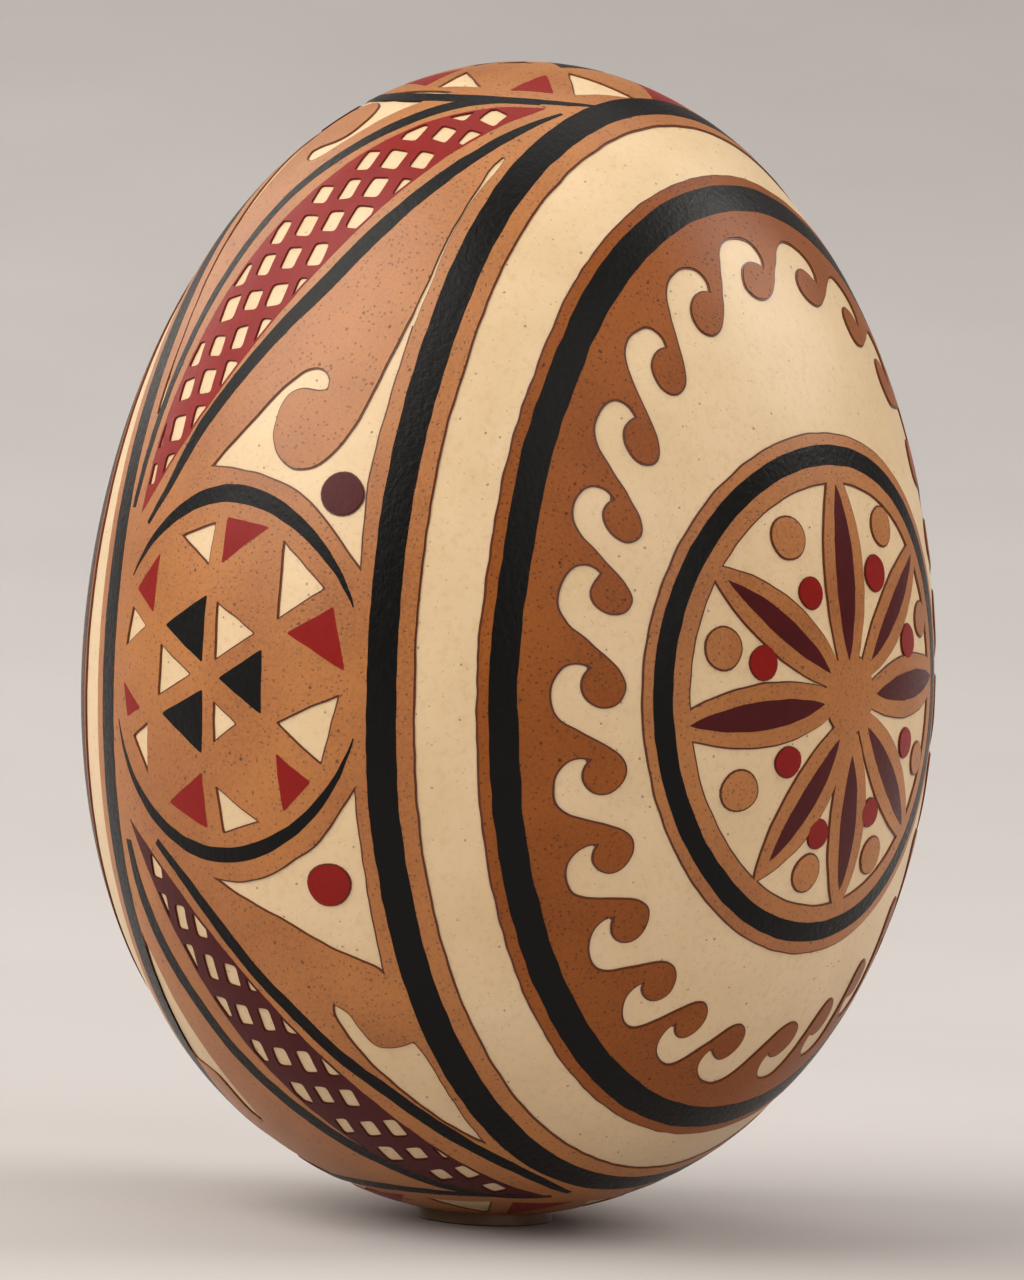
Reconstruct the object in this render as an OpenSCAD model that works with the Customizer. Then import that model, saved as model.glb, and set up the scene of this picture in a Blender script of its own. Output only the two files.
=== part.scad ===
// Decorated egg: a blown hen's egg, worked in wax, dye and acid.
// The origin is at the middle of the flat wax foot, +Z runs up the egg's long axis, sizes in mm.
// The belt runs over both poles in the YZ plane, and the two rosettes face +X and -X.

/* [Egg] */
// Length of the egg from pole to pole
egg_length = 57.8; // [48:1:70]
// Largest diameter of the egg
egg_width = 42.7; // [36:0.5:52]
// How much narrower the upper end is than the blunt end
egg_taper = 0.066; // [0:0.01:0.12]
// Thickness of the hard shell
shell_t = 0.35; // [0.25:0.05:0.6]
// Thickness of the coloured skin that the acid leaves standing
skin_t = 0.1; // [0.06:0.02:0.2]
// Thickness of the outer membrane
outer_membrane_t = 0.06; // [0.04:0.01:0.1]
// Thickness of the inner membrane
inner_membrane_t = 0.04; // [0.03:0.01:0.08]
// Greatest height of the air cell between the membranes, at the blunt end
air_cell_h = 3.2; // [1:0.2:5]

/* [Seal] */
// Diameter of the hole that the egg was blown through
blow_hole_d = 2; // [1:0.2:3]
// Diameter of the wax foot pressed flat under the blunt end
foot_d = 7; // [6:0.5:9]
// Depth of the wax foot below the shell's lowest point
foot_h = 0.3; // [0.3:0.1:0.8]
// How far the wax plug reaches inside the shell
plug_reach = 0.9; // [0.6:0.1:1.5]

/* [Belt] */
// Half of the width of the brown belt
belt_half = 8; // [7:0.25:9]
// Width of the black line along each side of the belt
belt_line_w = 1.6; // [1:0.1:2]
// Width of the thin brown lines that edge the black and the cream
edging_w = 0.35; // [0.2:0.05:0.5]
// Width of the brown margin between a motif and its neighbour
margin_w = 0.5; // [0.3:0.1:0.8]

/* [Roundels] */
// Greatest thickness of the black crescents of a roundel
crescent_w = 0.75; // [0.5:0.05:1]
// Gap between the crescents of a roundel and the black lines of the belt
roundel_gap = 0.2; // [0.1:0.05:0.4]
// Least gap between the rings of triangles in a roundel
triangle_gap = 0.3; // [0.2:0.05:0.5]

/* [Lenses] */
// Greatest width of a netted lens
net_w = 4.6; // [3.5:0.1:5]
// Width of the black line round a lens
lens_line_w = 0.7; // [0.4:0.1:0.9]
// Distance between the bars of the net
net_pitch = 1.4; // [1.3:0.1:2]
// Side of the square openings in the net
net_hole = 0.95; // [0.7:0.05:1.1]
// Radius of the dot beside each lens
spandrel_dot_r = 0.95; // [0.7:0.05:1.1]
// Width of the cream corner beside each lens
corner_w = 5; // [4:0.25:5.5]
// Height of the cream corner beside each lens
corner_h = 8; // [6:0.5:9]
// Radius of the round bite in that corner
corner_bite_r = 1.6; // [1.2:0.1:1.8]

/* [Wave ring] */
// Width of the cream band outside the belt
cream_band_w = 3.2; // [2:0.2:3.6]
// Width of the black line of the wave ring, measured across the ring
wave_line_w = 1.1; // [0.8:0.1:1.4]
// Width of the brown band that the waves rise from
wave_band_w = 1; // [0.8:0.1:1.5]
// Number of waves round the ring
wave_count = 26; // [20:1:30]
// Radius of the round head of a wave
wave_head_r = 0.85; // [0.7:0.05:1]

/* [Rosette] */
// Radius of the rosette's outer edge
rosette_r = 11.6; // [10:0.2:12.2]
// Width of the rosette's black ring
rosette_line_w = 1; // [0.8:0.1:1.2]
// Number of petals
petal_count = 8; // [6:1:9]
// Width of a petal's dark core
petal_core_w = 1.15; // [0.8:0.05:1.3]
// Width of the brown border round a petal's core
petal_border_w = 0.75; // [0.6:0.05:0.9]
// Radius of the brown hub
hub_r = 1.9; // [1.5:0.1:2.2]
// Radius of the outer, brown dots
brown_dot_r = 0.95; // [0.7:0.05:1]
// Radius of the inner, red dots
red_dot_r = 0.72; // [0.5:0.02:0.8]

/* [Hidden] */

// Directions that the motifs are laid on from: [turn about Z, tilt up]
RIGHT = [0, 0];
LEFT = [180, 0];
FRONT = [-90, 0];
BACK = [90, 0];
TOP = [-90, 90];
BOTTOM = [-90, -90];
ROUNDELS = [FRONT, BACK, TOP, BOTTOM];
UPPER_LENSES = [[-90, 45], [90, 45]];
LOWER_LENSES = [[-90, -45], [90, -45]];

COLOUR_BROWN = "#B4733F";
COLOUR_BLACK = "#17130F";
COLOUR_CREAM = "#E8D2A4";
COLOUR_RED = "#A3202A";
COLOUR_MAROON = "#5A1526";
COLOUR_MEMBRANE = "#F4EEDF";
COLOUR_WAX = "#D8A448";

bands = 36;              // flat bands from pole to pole
round_fn = 96;
lens_steps = 12;         // straight steps along each side of a lens
reach = egg_length;      // longer than the way out from the centre in any direction
merge = 0.02;            // how far two drawings of one piece run into each other
band_slant = 0.75;       // how much of a wave band's width counts along X, as the shell curves away
lens_line_tip = 0.6;     // how much shorter the inside of a lens's black line is than its outside
net_tip = 2.4;           // how much shorter the net is than its lens
seam_turn = 34;          // turns the seam of a revolved piece clear of the motifs' own lines
fullness = 0.042;        // how much rounder than an ellipse the outline is towards both ends
upper_fullness = 0.018;  // and how much more so towards the upper end

half_length = egg_length / 2;
middle_z = foot_h + half_length;

// Radius of the outline before it is brought to the egg's width, at height t from -1 to 1
function plain_r(t) =
    sqrt(max(0, 1 - t * t)) * (1 - egg_taper * t + fullness * t * t + upper_fullness * t * t * t);
widest = max([for (t = [-0.4:0.01:0.2]) plain_r(t)]);
function egg_r(z) = egg_width / 2 * plain_r(z / half_length) / widest;

// A point of the outline at latitude u, and the outward normal there
function outline(u) = [
    abs(u) >= 90 ? 0 : egg_r(half_length * sin(u)),
    half_length * sin(u)
];
function outward(u) =
    abs(u) >= 90 ? [0, sign(u)] :
    let (d = outline(u + 0.5) - outline(u - 0.5), d_unit = d / norm(d)) [d_unit[1], -d_unit[0]];
// The outline moved out by d, or in where d is negative
function moved_outline(d) = [
    for (i = [0:bands])
        let (u = -90 + 180 * i / bands, p = outline(u) + d * outward(u)) [max(0, p[0]), p[1]]
];
function reversed(points) = [for (i = [len(points) - 1:-1:0]) points[i]];

// The inside of a layer, below which the air cell cuts the inner membrane off flat
inside_d = -(shell_t + outer_membrane_t);
cell_z = -half_length - inside_d + air_cell_h;

// Height at which the surface has radius r, above or below the widest place
function height_at(r, up, low = 0, high = 1, steps = 24) =
    steps == 0 ? up * half_length * (low + high) / 2 :
    let (m = (low + high) / 2)
        egg_r(up * half_length * m) > r ? height_at(r, up, m, high, steps - 1)
                                        : height_at(r, up, low, m, steps - 1);

// Distance from the X axis at which the section at x is met, in direction a from +Y
function section_rho(x, a, low = 0, high = 1, steps = 24) =
    steps == 0 ? half_length * (low + high) / 2 :
    let (m = (low + high) / 2, rho = half_length * m, z = rho * sin(a), y = rho * cos(a))
        egg_r(z) > norm([x, y]) ? section_rho(x, a, m, high, steps - 1)
                                : section_rho(x, a, low, m, steps - 1);

// A roundel: crescents outside, then a ring of teeth, then a star of six triangles
roundel_r = belt_half - roundel_gap;
star_points = 6;
tooth_count = 12;
tooth_turn = 360 / tooth_count;
tooth_room = roundel_r - crescent_w - triangle_gap;
tooth_step = 2 * PI / tooth_count;
// The teeth are as large as lets them stand margin_w apart all round
tooth_r = (tooth_step * tooth_room - margin_w) / (sqrt(3) + tooth_step);
tooth_orbit = tooth_room - tooth_r;
star_r = tooth_orbit - tooth_r - triangle_gap;

// Edges across the X axis, from the belt out to the waves
belt_line_out = belt_half + belt_line_w;
belt_edge = belt_line_out + edging_w;
wave_edge = belt_edge + cream_band_w;
wave_line_in = wave_edge + edging_w;
wave_line_out = wave_line_in + wave_line_w * band_slant;
wave_foot = wave_line_out + wave_band_w * band_slant;
wave_neck_r = wave_head_r * 1.15;

// Radii of a rosette, from its edge in to its dots
rosette_edging_w = edging_w * 1.5;
ring_out = rosette_r - rosette_edging_w;
ring_in = ring_out - rosette_line_w;
field_r = ring_in - rosette_edging_w;
core_start = hub_r + 0.3;
core_end = field_r - 0.2;
brown_dot_orbit = field_r - brown_dot_r - margin_w;
red_dot_orbit = brown_dot_orbit - brown_dot_r - red_dot_r - margin_w * 1.5;
rosette_z = -1.6;    // the rosettes lie at the egg's widest place, this far from its middle
dot_turn = 180 / petal_count;

module revolve(points) {
    rotate(seam_turn) rotate_extrude($fn = round_fn) polygon(points);
}

// A closed layer between two offsets of the outline
module layer(outer_d, inner_d) {
    translate([0, 0, middle_z])
        revolve(concat(moved_outline(outer_d), reversed(moved_outline(inner_d))));
}

// The egg's own solid, out to an offset of its outline
module egg_solid(d) {
    translate([0, 0, middle_z]) revolve(moved_outline(d));
}

module blow_hole() {
    cylinder(h = foot_h + 2 * air_cell_h, d = blow_hole_d, $fn = round_fn);
}

// The coloured skin, whole, before it is parted into motifs
module skin() {
    difference() {
        layer(skin_t, 0);
        blow_hole();
    }
}

// A flat drawing carried out from the egg's centre: its x runs to the right and its y up,
// as seen from outside
module carried(direction) {
    translate([0, 0, middle_z])
        rotate([0, -direction[1], direction[0]])
            rotate([90, 0, 90])
                linear_extrude(height = reach) children();
}

// The part of the skin under a flat drawing
module laid_on(direction) {
    intersection() {
        skin();
        carried(direction) children();
    }
}

// The part of the skin between two planes across the X axis, to the right or to the left
module skin_ring(side, x_low, x_high) {
    width = x_high - x_low;
    intersection() {
        skin();
        translate([side * (x_low + width / 2), 0, middle_z])
            cube([width, 2 * reach, 2 * reach], center = true);
    }
}

// ---- flat drawings ----

module dot(r) {
    circle(r = r, $fn = 48);
}

// A pointed lens of two arcs, along x, drawn with short straight steps
module lens_2d(length, width) {
    side = [
        for (i = [0:lens_steps])
            let (s = length * (i / lens_steps - 0.5)) [s, lens_half(s, length, width)]
    ];
    back = [for (i = [lens_steps - 1:-1:1]) [side[i][0], -side[i][1]]];
    polygon(concat(side, back));
}

module triangle(r) {
    polygon([for (a = [0:120:240]) r * [cos(a), sin(a)]]);
}

// The triangles of the inner star: start is 0 for the black ones and 1 for the cream ones
module star_triangles(start) {
    far_x = star_r * cos(30);
    far_y = (far_x - margin_w) * tan(30);
    for (i = [start:2:star_points - 1])
        rotate(60 * i)
            polygon([[margin_w, 0], [far_x, far_y], [far_x, -far_y]]);
}

// The triangles round the star: start is 0 for the red ones and 1 for the cream ones
module tooth_triangles(start) {
    for (i = [start:2:tooth_count - 1])
        rotate(tooth_turn * (i + 0.5))
            translate([tooth_orbit, 0])
                rotate(i % 2 == 0 ? 60 : 0)
                    triangle(tooth_r);
}

// The two black crescents that close a roundel above and below
module crescents() {
    for (below = [0, 1])
        mirror([0, below])
            intersection() {
                difference() {
                    circle(r = roundel_r, $fn = round_fn);
                    translate([0, -crescent_w]) circle(r = roundel_r, $fn = round_fn);
                }
                translate([-reach / 2, crescent_w]) square(reach);
            }
}

module roundel_outline() {
    intersection() {
        circle(r = roundel_r + margin_w, $fn = round_fn);
        square([2 * belt_half, reach], center = true);
    }
}

module roundel_ground() {
    difference() {
        roundel_outline();
        crescents();
        for (start = [0, 1]) {
            star_triangles(start);
            tooth_triangles(start);
        }
    }
}

// Drawings of the lenses, which are carried out at 45 degrees. up is 1 in the upper half of the egg
// and -1 in the lower half; a lens runs between the front or back roundel and the one at a pole.
roundel_edge = roundel_r + 2 * margin_w;
function lens_low(up) = (roundel_edge - egg_r(up * roundel_edge)) * sin(45);
function lens_high(up) = (abs(height_at(roundel_edge, up)) - roundel_edge) * sin(45);
function lens_span(up) = [2 * (belt_half - margin_w), lens_high(up) - lens_low(up)];
function lens_length(up) = norm(lens_span(up));
function lens_middle(up) = up * (lens_low(up) + lens_high(up)) / 2;
function lens_slope(up) = up * atan2(lens_span(up)[1], lens_span(up)[0]);
function lens_arc_r(length, width) = (length * length + width * width) / (4 * width);
// Half of a lens's width at a distance s from its middle
function lens_half(s, length, width) =
    let (r = lens_arc_r(length, width)) sqrt(max(0, r * r - s * s)) - r + width / 2;

module lens_outline(up, shorter, width) {
    translate([0, lens_middle(up)]) rotate(lens_slope(up)) lens_2d(lens_length(up) - shorter, width);
}

module lens_line(up) {
    difference() {
        lens_outline(up, 0, net_w + 2 * (margin_w + lens_line_w));
        lens_outline(up, lens_line_tip, net_w + 2 * margin_w);
    }
}

module net_outline(up) {
    lens_outline(up, net_tip, net_w);
}

module net(up) {
    rows = ceil(lens_length(up) / 2 / net_pitch);
    columns = ceil(belt_half / net_pitch);
    along = [cos(lens_slope(up)), sin(lens_slope(up))];
    across = [-along[1], along[0]];
    difference() {
        net_outline(up);
        for (i = [-columns:columns], j = [-rows:rows]) {
            place = net_pitch * [i, j];
            edge = lens_half(place * along, lens_length(up) - net_tip, net_w);
            if (abs(place * across) < edge - net_hole * 0.6)
                translate([0, lens_middle(up)]) translate(place) square(net_hole, center = true);
        }
    }
}

// The cream corners beside a lens, each with its round bite
corner_x = belt_half - margin_w;
function corner_y(up) = lens_low(up) + margin_w;

module both_corners(up) {
    for (turn = [0, 180])
        translate([0, lens_middle(up)]) rotate(turn) translate([0, -lens_middle(up)])
            mirror([0, up < 0 ? 1 : 0]) children();
}

module corner(up) {
    difference() {
        polygon([
            [corner_x - corner_w, corner_y(up) - 0.8],
            [corner_x, corner_y(up)],
            [corner_x, corner_y(up) + corner_h]
        ]);
        translate([corner_x - corner_w * 0.7, corner_y(up) + corner_h * 0.4]) dot(corner_bite_r);
    }
}

module corner_dot(up) {
    translate([corner_x - 0.6 - spandrel_dot_r, corner_y(up) + 1.3]) dot(spandrel_dot_r);
}

// A brown ring between two radii, and drawings of the rosette
module ring_2d(outer_r, inner_r) {
    difference() {
        circle(r = outer_r, $fn = round_fn);
        circle(r = inner_r, $fn = round_fn);
    }
}

module petals(length, width, start) {
    for (i = [0:petal_count - 1])
        rotate(90 + 360 * i / petal_count) translate([start + length / 2, 0]) lens_2d(length, width);
}

module petal_cores_2d() {
    petals(core_end - core_start, petal_core_w, core_start);
}

module rosette_dots(r, orbit) {
    for (i = [0:petal_count - 1])
        rotate(90 + dot_turn + 360 * i / petal_count) translate([orbit, 0]) dot(r);
}

module rosette_ground_2d() {
    difference() {
        union() {
            ring_2d(ring_in, field_r);
            dot(hub_r);
            petals(field_r + merge, petal_core_w + 2 * petal_border_w, 0);
        }
        petal_cores_2d();
    }
}

// ---- pieces under the skin ----

module shell() {
    color(COLOUR_CREAM)
        difference() {
            layer(0, -shell_t);
            blow_hole();
        }
}

module outer_membrane() {
    color(COLOUR_MEMBRANE)
        difference() {
            layer(-shell_t, inside_d);
            blow_hole();
        }
}

// The bag of the inner membrane, cut off flat where the air cell lies between the two membranes
module membrane_bag(d, low_z) {
    intersection() {
        egg_solid(d);
        translate([-reach, -reach, low_z]) cube(2 * reach);
    }
}

module inner_membrane() {
    color(COLOUR_MEMBRANE)
        difference() {
            membrane_bag(inside_d, middle_z + cell_z);
            membrane_bag(inside_d - inner_membrane_t, middle_z + cell_z + inner_membrane_t);
            blow_hole();
        }
}

// The plug in the blow hole and the foot outside it, one piece of wax
module wax_seal() {
    foot_top = middle_z + height_at(foot_d / 2, -1);
    color(COLOUR_WAX) {
        difference() {
            cylinder(h = foot_top, d = foot_d, $fn = round_fn);
            egg_solid(skin_t);
        }
        cylinder(h = foot_h + shell_t + outer_membrane_t + plug_reach,
                 d = blow_hole_d, $fn = round_fn);
    }
}

// ---- the belt ----

module belt_spandrels() {
    color(COLOUR_BROWN)
        difference() {
            skin_ring(1, -belt_half, belt_half);
            for (direction = ROUNDELS) carried(direction) roundel_outline();
            for (direction = UPPER_LENSES) carried(direction) openings(1);
            for (direction = LOWER_LENSES) carried(direction) openings(-1);
        }
}

// What a lens and its corners leave out of the brown belt
module openings(up) {
    lens_line(up);
    net_outline(up);
    both_corners(up) corner(up);
}

module belt_line(side) {
    color(COLOUR_BLACK) skin_ring(side, belt_half, belt_line_out);
}

module belt_edging(side) {
    color(COLOUR_BROWN) skin_ring(side, belt_line_out, belt_edge);
}

module belt_line_right() {
    belt_line(1);
}

module belt_line_left() {
    belt_line(-1);
}

module belt_edging_right() {
    belt_edging(1);
}

module belt_edging_left() {
    belt_edging(-1);
}

// ---- the roundels ----

module front_roundel_ground() {
    color(COLOUR_BROWN) laid_on(FRONT) roundel_ground();
}

module back_roundel_ground() {
    color(COLOUR_BROWN) laid_on(BACK) roundel_ground();
}

module top_roundel_ground() {
    color(COLOUR_BROWN) laid_on(TOP) roundel_ground();
}

module bottom_roundel_ground() {
    color(COLOUR_BROWN) laid_on(BOTTOM) roundel_ground();
}

module roundel_crescents() {
    color(COLOUR_BLACK)
        for (direction = ROUNDELS) laid_on(direction) crescents();
}

module roundel_black_triangles() {
    color(COLOUR_BLACK)
        for (direction = ROUNDELS) laid_on(direction) star_triangles(0);
}

module roundel_red_triangles() {
    color(COLOUR_RED)
        for (direction = ROUNDELS) laid_on(direction) tooth_triangles(0);
}

// ---- the lenses ----

module lens_lines() {
    color(COLOUR_BLACK) {
        for (direction = UPPER_LENSES) laid_on(direction) lens_line(1);
        for (direction = LOWER_LENSES) laid_on(direction) lens_line(-1);
    }
}

module upper_lens_nets() {
    color(COLOUR_RED)
        for (direction = UPPER_LENSES) laid_on(direction) net(1);
}

module lower_lens_nets() {
    color(COLOUR_MAROON)
        for (direction = LOWER_LENSES) laid_on(direction) net(-1);
}

module upper_spandrel_dots() {
    color(COLOUR_MAROON)
        for (direction = UPPER_LENSES) laid_on(direction) both_corners(1) corner_dot(1);
}

module lower_spandrel_dots() {
    color(COLOUR_RED)
        for (direction = LOWER_LENSES) laid_on(direction) both_corners(-1) corner_dot(-1);
}

// ---- the wave rings ----

// How steeply the outline draws in towards the upper end at height z, as an angle
function draw_in(z, step = 0.3) = atan((egg_r(z - step) - egg_r(z + step)) / (2 * step));

// How far along X a step of 1 on the surface goes, square to the section at x
function step_x(x, a) =
    let (rho = section_rho(x, a), nx = cos(draw_in(rho * sin(a))) * x / norm([x, rho * cos(a)]))
        sqrt(1 - nx * nx);

// Places a child a distance d on from the section at x, in direction a from +Y, with its z along
// the surface's normal
module on_section(section_x, a, d) {
    x = section_x + d * step_x(section_x, a);
    rho = section_rho(x, a);
    translate([x, rho * cos(a), middle_z + rho * sin(a)])
        rotate([0, 90 - draw_in(rho * sin(a)), atan2(rho * cos(a), x)])
            children();
}

// A wave's neck and its round head, which leans on along the ring
module wave(a) {
    lean = 360 / wave_count / 5;
    on_section(wave_foot, a, wave_head_r * 0.3)
        cylinder(h = 2, r = wave_neck_r, center = true, $fn = 32);
    on_section(wave_foot, a + lean, wave_head_r * 1.7)
        cylinder(h = 2, r = wave_head_r, center = true, $fn = 32);
}

module wave_band(turn) {
    color(COLOUR_BROWN)
        rotate(turn)
            intersection() {
                skin();
                union() {
                    translate([wave_line_out, -reach, middle_z - reach])
                        cube([wave_foot - wave_line_out, 2 * reach, 2 * reach]);
                    for (i = [0:wave_count - 1]) wave(360 * i / wave_count);
                }
            }
}

module wave_edging_right() {
    color(COLOUR_BROWN) skin_ring(1, wave_edge, wave_line_in);
}

module wave_edging_left() {
    color(COLOUR_BROWN) skin_ring(-1, wave_edge, wave_line_in);
}

module wave_line_right() {
    color(COLOUR_BLACK) skin_ring(1, wave_line_in, wave_line_out);
}

module wave_line_left() {
    color(COLOUR_BLACK) skin_ring(-1, wave_line_in, wave_line_out);
}

module wave_band_right() {
    wave_band(0);
}

module wave_band_left() {
    wave_band(180);
}

// ---- the rosettes ----

module rosette_part(direction) {
    laid_on(direction) translate([0, rosette_z]) children();
}

module rosette_edging_right() {
    color(COLOUR_BROWN) rosette_part(RIGHT) ring_2d(rosette_r, ring_out);
}

module rosette_edging_left() {
    color(COLOUR_BROWN) rosette_part(LEFT) ring_2d(rosette_r, ring_out);
}

module rosette_ring_right() {
    color(COLOUR_BLACK) rosette_part(RIGHT) ring_2d(ring_out, ring_in);
}

module rosette_ring_left() {
    color(COLOUR_BLACK) rosette_part(LEFT) ring_2d(ring_out, ring_in);
}

module rosette_ground_right() {
    color(COLOUR_BROWN) rosette_part(RIGHT) rosette_ground_2d();
}

module rosette_ground_left() {
    color(COLOUR_BROWN) rosette_part(LEFT) rosette_ground_2d();
}

module petal_cores_right() {
    color(COLOUR_MAROON) rosette_part(RIGHT) petal_cores_2d();
}

module petal_cores_left() {
    color(COLOUR_MAROON) rosette_part(LEFT) petal_cores_2d();
}

module brown_dots_right() {
    color(COLOUR_BROWN) rosette_part(RIGHT) rosette_dots(brown_dot_r, brown_dot_orbit);
}

module brown_dots_left() {
    color(COLOUR_BROWN) rosette_part(LEFT) rosette_dots(brown_dot_r, brown_dot_orbit);
}

module red_dots_right() {
    color(COLOUR_RED) rosette_part(RIGHT) rosette_dots(red_dot_r, red_dot_orbit);
}

module red_dots_left() {
    color(COLOUR_RED) rosette_part(LEFT) rosette_dots(red_dot_r, red_dot_orbit);
}

shell();
outer_membrane();
inner_membrane();
wax_seal();
belt_spandrels();
belt_line_right();
belt_line_left();
belt_edging_right();
belt_edging_left();
front_roundel_ground();
back_roundel_ground();
top_roundel_ground();
bottom_roundel_ground();
roundel_crescents();
roundel_black_triangles();
roundel_red_triangles();
lens_lines();
upper_lens_nets();
lower_lens_nets();
upper_spandrel_dots();
lower_spandrel_dots();
wave_edging_right();
wave_edging_left();
wave_line_right();
wave_line_left();
wave_band_right();
wave_band_left();
rosette_edging_right();
rosette_edging_left();
rosette_ring_right();
rosette_ring_left();
rosette_ground_right();
rosette_ground_left();
petal_cores_right();
petal_cores_left();
brown_dots_right();
brown_dots_left();
red_dots_right();
red_dots_left();
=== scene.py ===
"""A wax-resist decorated egg: a blown shell with a thin stained skin standing on it.

Every motif is drawn flat, in millimetres, as a closed outline. A flat sheet is cut
by stencils of those outlines, and then laid over the egg. Three heights of sheet make
the look: a dark edge under everything, the brown skin, and the dyed pieces.
"""
from __future__ import annotations

import logging
import math
import random
from contextlib import contextmanager
from dataclasses import dataclass, field
from enum import Enum
from typing import Callable, Iterable, Iterator, Sequence

import bpy
import numpy as np
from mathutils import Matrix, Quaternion, Vector, noise


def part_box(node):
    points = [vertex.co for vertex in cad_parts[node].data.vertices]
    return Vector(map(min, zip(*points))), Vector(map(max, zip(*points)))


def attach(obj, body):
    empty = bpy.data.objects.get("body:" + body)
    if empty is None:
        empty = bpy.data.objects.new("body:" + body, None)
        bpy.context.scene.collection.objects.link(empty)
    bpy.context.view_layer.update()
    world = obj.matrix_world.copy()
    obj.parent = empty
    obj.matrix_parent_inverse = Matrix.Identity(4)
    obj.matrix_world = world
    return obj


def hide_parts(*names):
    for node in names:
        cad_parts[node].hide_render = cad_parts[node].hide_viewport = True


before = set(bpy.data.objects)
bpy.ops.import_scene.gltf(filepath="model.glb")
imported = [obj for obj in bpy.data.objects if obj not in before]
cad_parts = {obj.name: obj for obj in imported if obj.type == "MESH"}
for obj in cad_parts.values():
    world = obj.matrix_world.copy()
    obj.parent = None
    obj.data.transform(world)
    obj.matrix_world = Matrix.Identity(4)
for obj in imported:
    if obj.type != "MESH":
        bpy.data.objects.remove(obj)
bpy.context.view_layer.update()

MM = 0.001
TINY = 1e-6
LOG = logging.getLogger("egg")

# How outlines are drawn, in millimetres: the step round an ellipse and its fewest points,
# the step of an offset line, and what is left of a clipped shape at the least
ROUND_STEP = 0.3
FEWEST_ROUND = 20
OFFSET_STEP = 0.12
SHORTEST_CLIP = 0.08
SMALLEST_CLIP = 0.15
CLIP_ROUNDING = 0.13

# How far the dark edge shows past a colour, and about how wide a sheet's cells are
EDGE_GAP = 0.085
CELL = 0.5

Point = tuple[float, float]
Mark = tuple[float, ...]
Colour = tuple[float, float, float]


# ---------------------------------------------------------------- named options


class Layer(Enum):
    """How high a sheet's lower and upper face lie over the shell, in millimetres."""

    EDGE = (-0.02, 0.045)
    SKIN = (-0.02, 0.085)
    DYED = (-0.02, 0.095)


class Side(Enum):
    """Which of the egg's two sides a rosette is on, as the sign of X."""

    RIGHT = 1.0
    LEFT = -1.0


class Cut(Enum):
    """What a stencil does to a sheet."""

    KEEP = "INTERSECT"
    DROP = "DIFFERENCE"


class Slot(Enum):
    """The record's material slots."""

    SHELL = "bare_shell"
    MEMBRANE = "membrane"
    WAX = "beeswax"
    BROWN = "brown_skin"
    BLACK = "black_dye"
    RED = "red_dye"
    MAROON = "maroon_dye"


# ---------------------------------------------------------------- flat outlines


def eased(
    t: np.ndarray, first: np.ndarray, leaving: np.ndarray, last: np.ndarray, coming: np.ndarray
) -> np.ndarray:
    """Run a smooth curve between two places, given its direction at each.

    Args:
        t: How far along, from 0 to 1, as a column.
        first: Where it starts.
        leaving: Its direction there.
        last: Where it ends.
        coming: Its direction there.

    Returns:
        The places at each t.
    """
    return (
        (2 * t**3 - 3 * t**2 + 1) * first
        + (t**3 - 2 * t**2 + t) * leaving
        + (3 * t**2 - 2 * t**3) * last
        + (t**3 - t**2) * coming
    )


def twice_area(p: np.ndarray) -> float:
    """Work out twice a closed line's area, which is negative if it runs clockwise."""
    q = np.roll(p, -1, axis=0)
    return float((p[:, 0] * q[:, 1] - q[:, 0] * p[:, 1]).sum())


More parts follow.
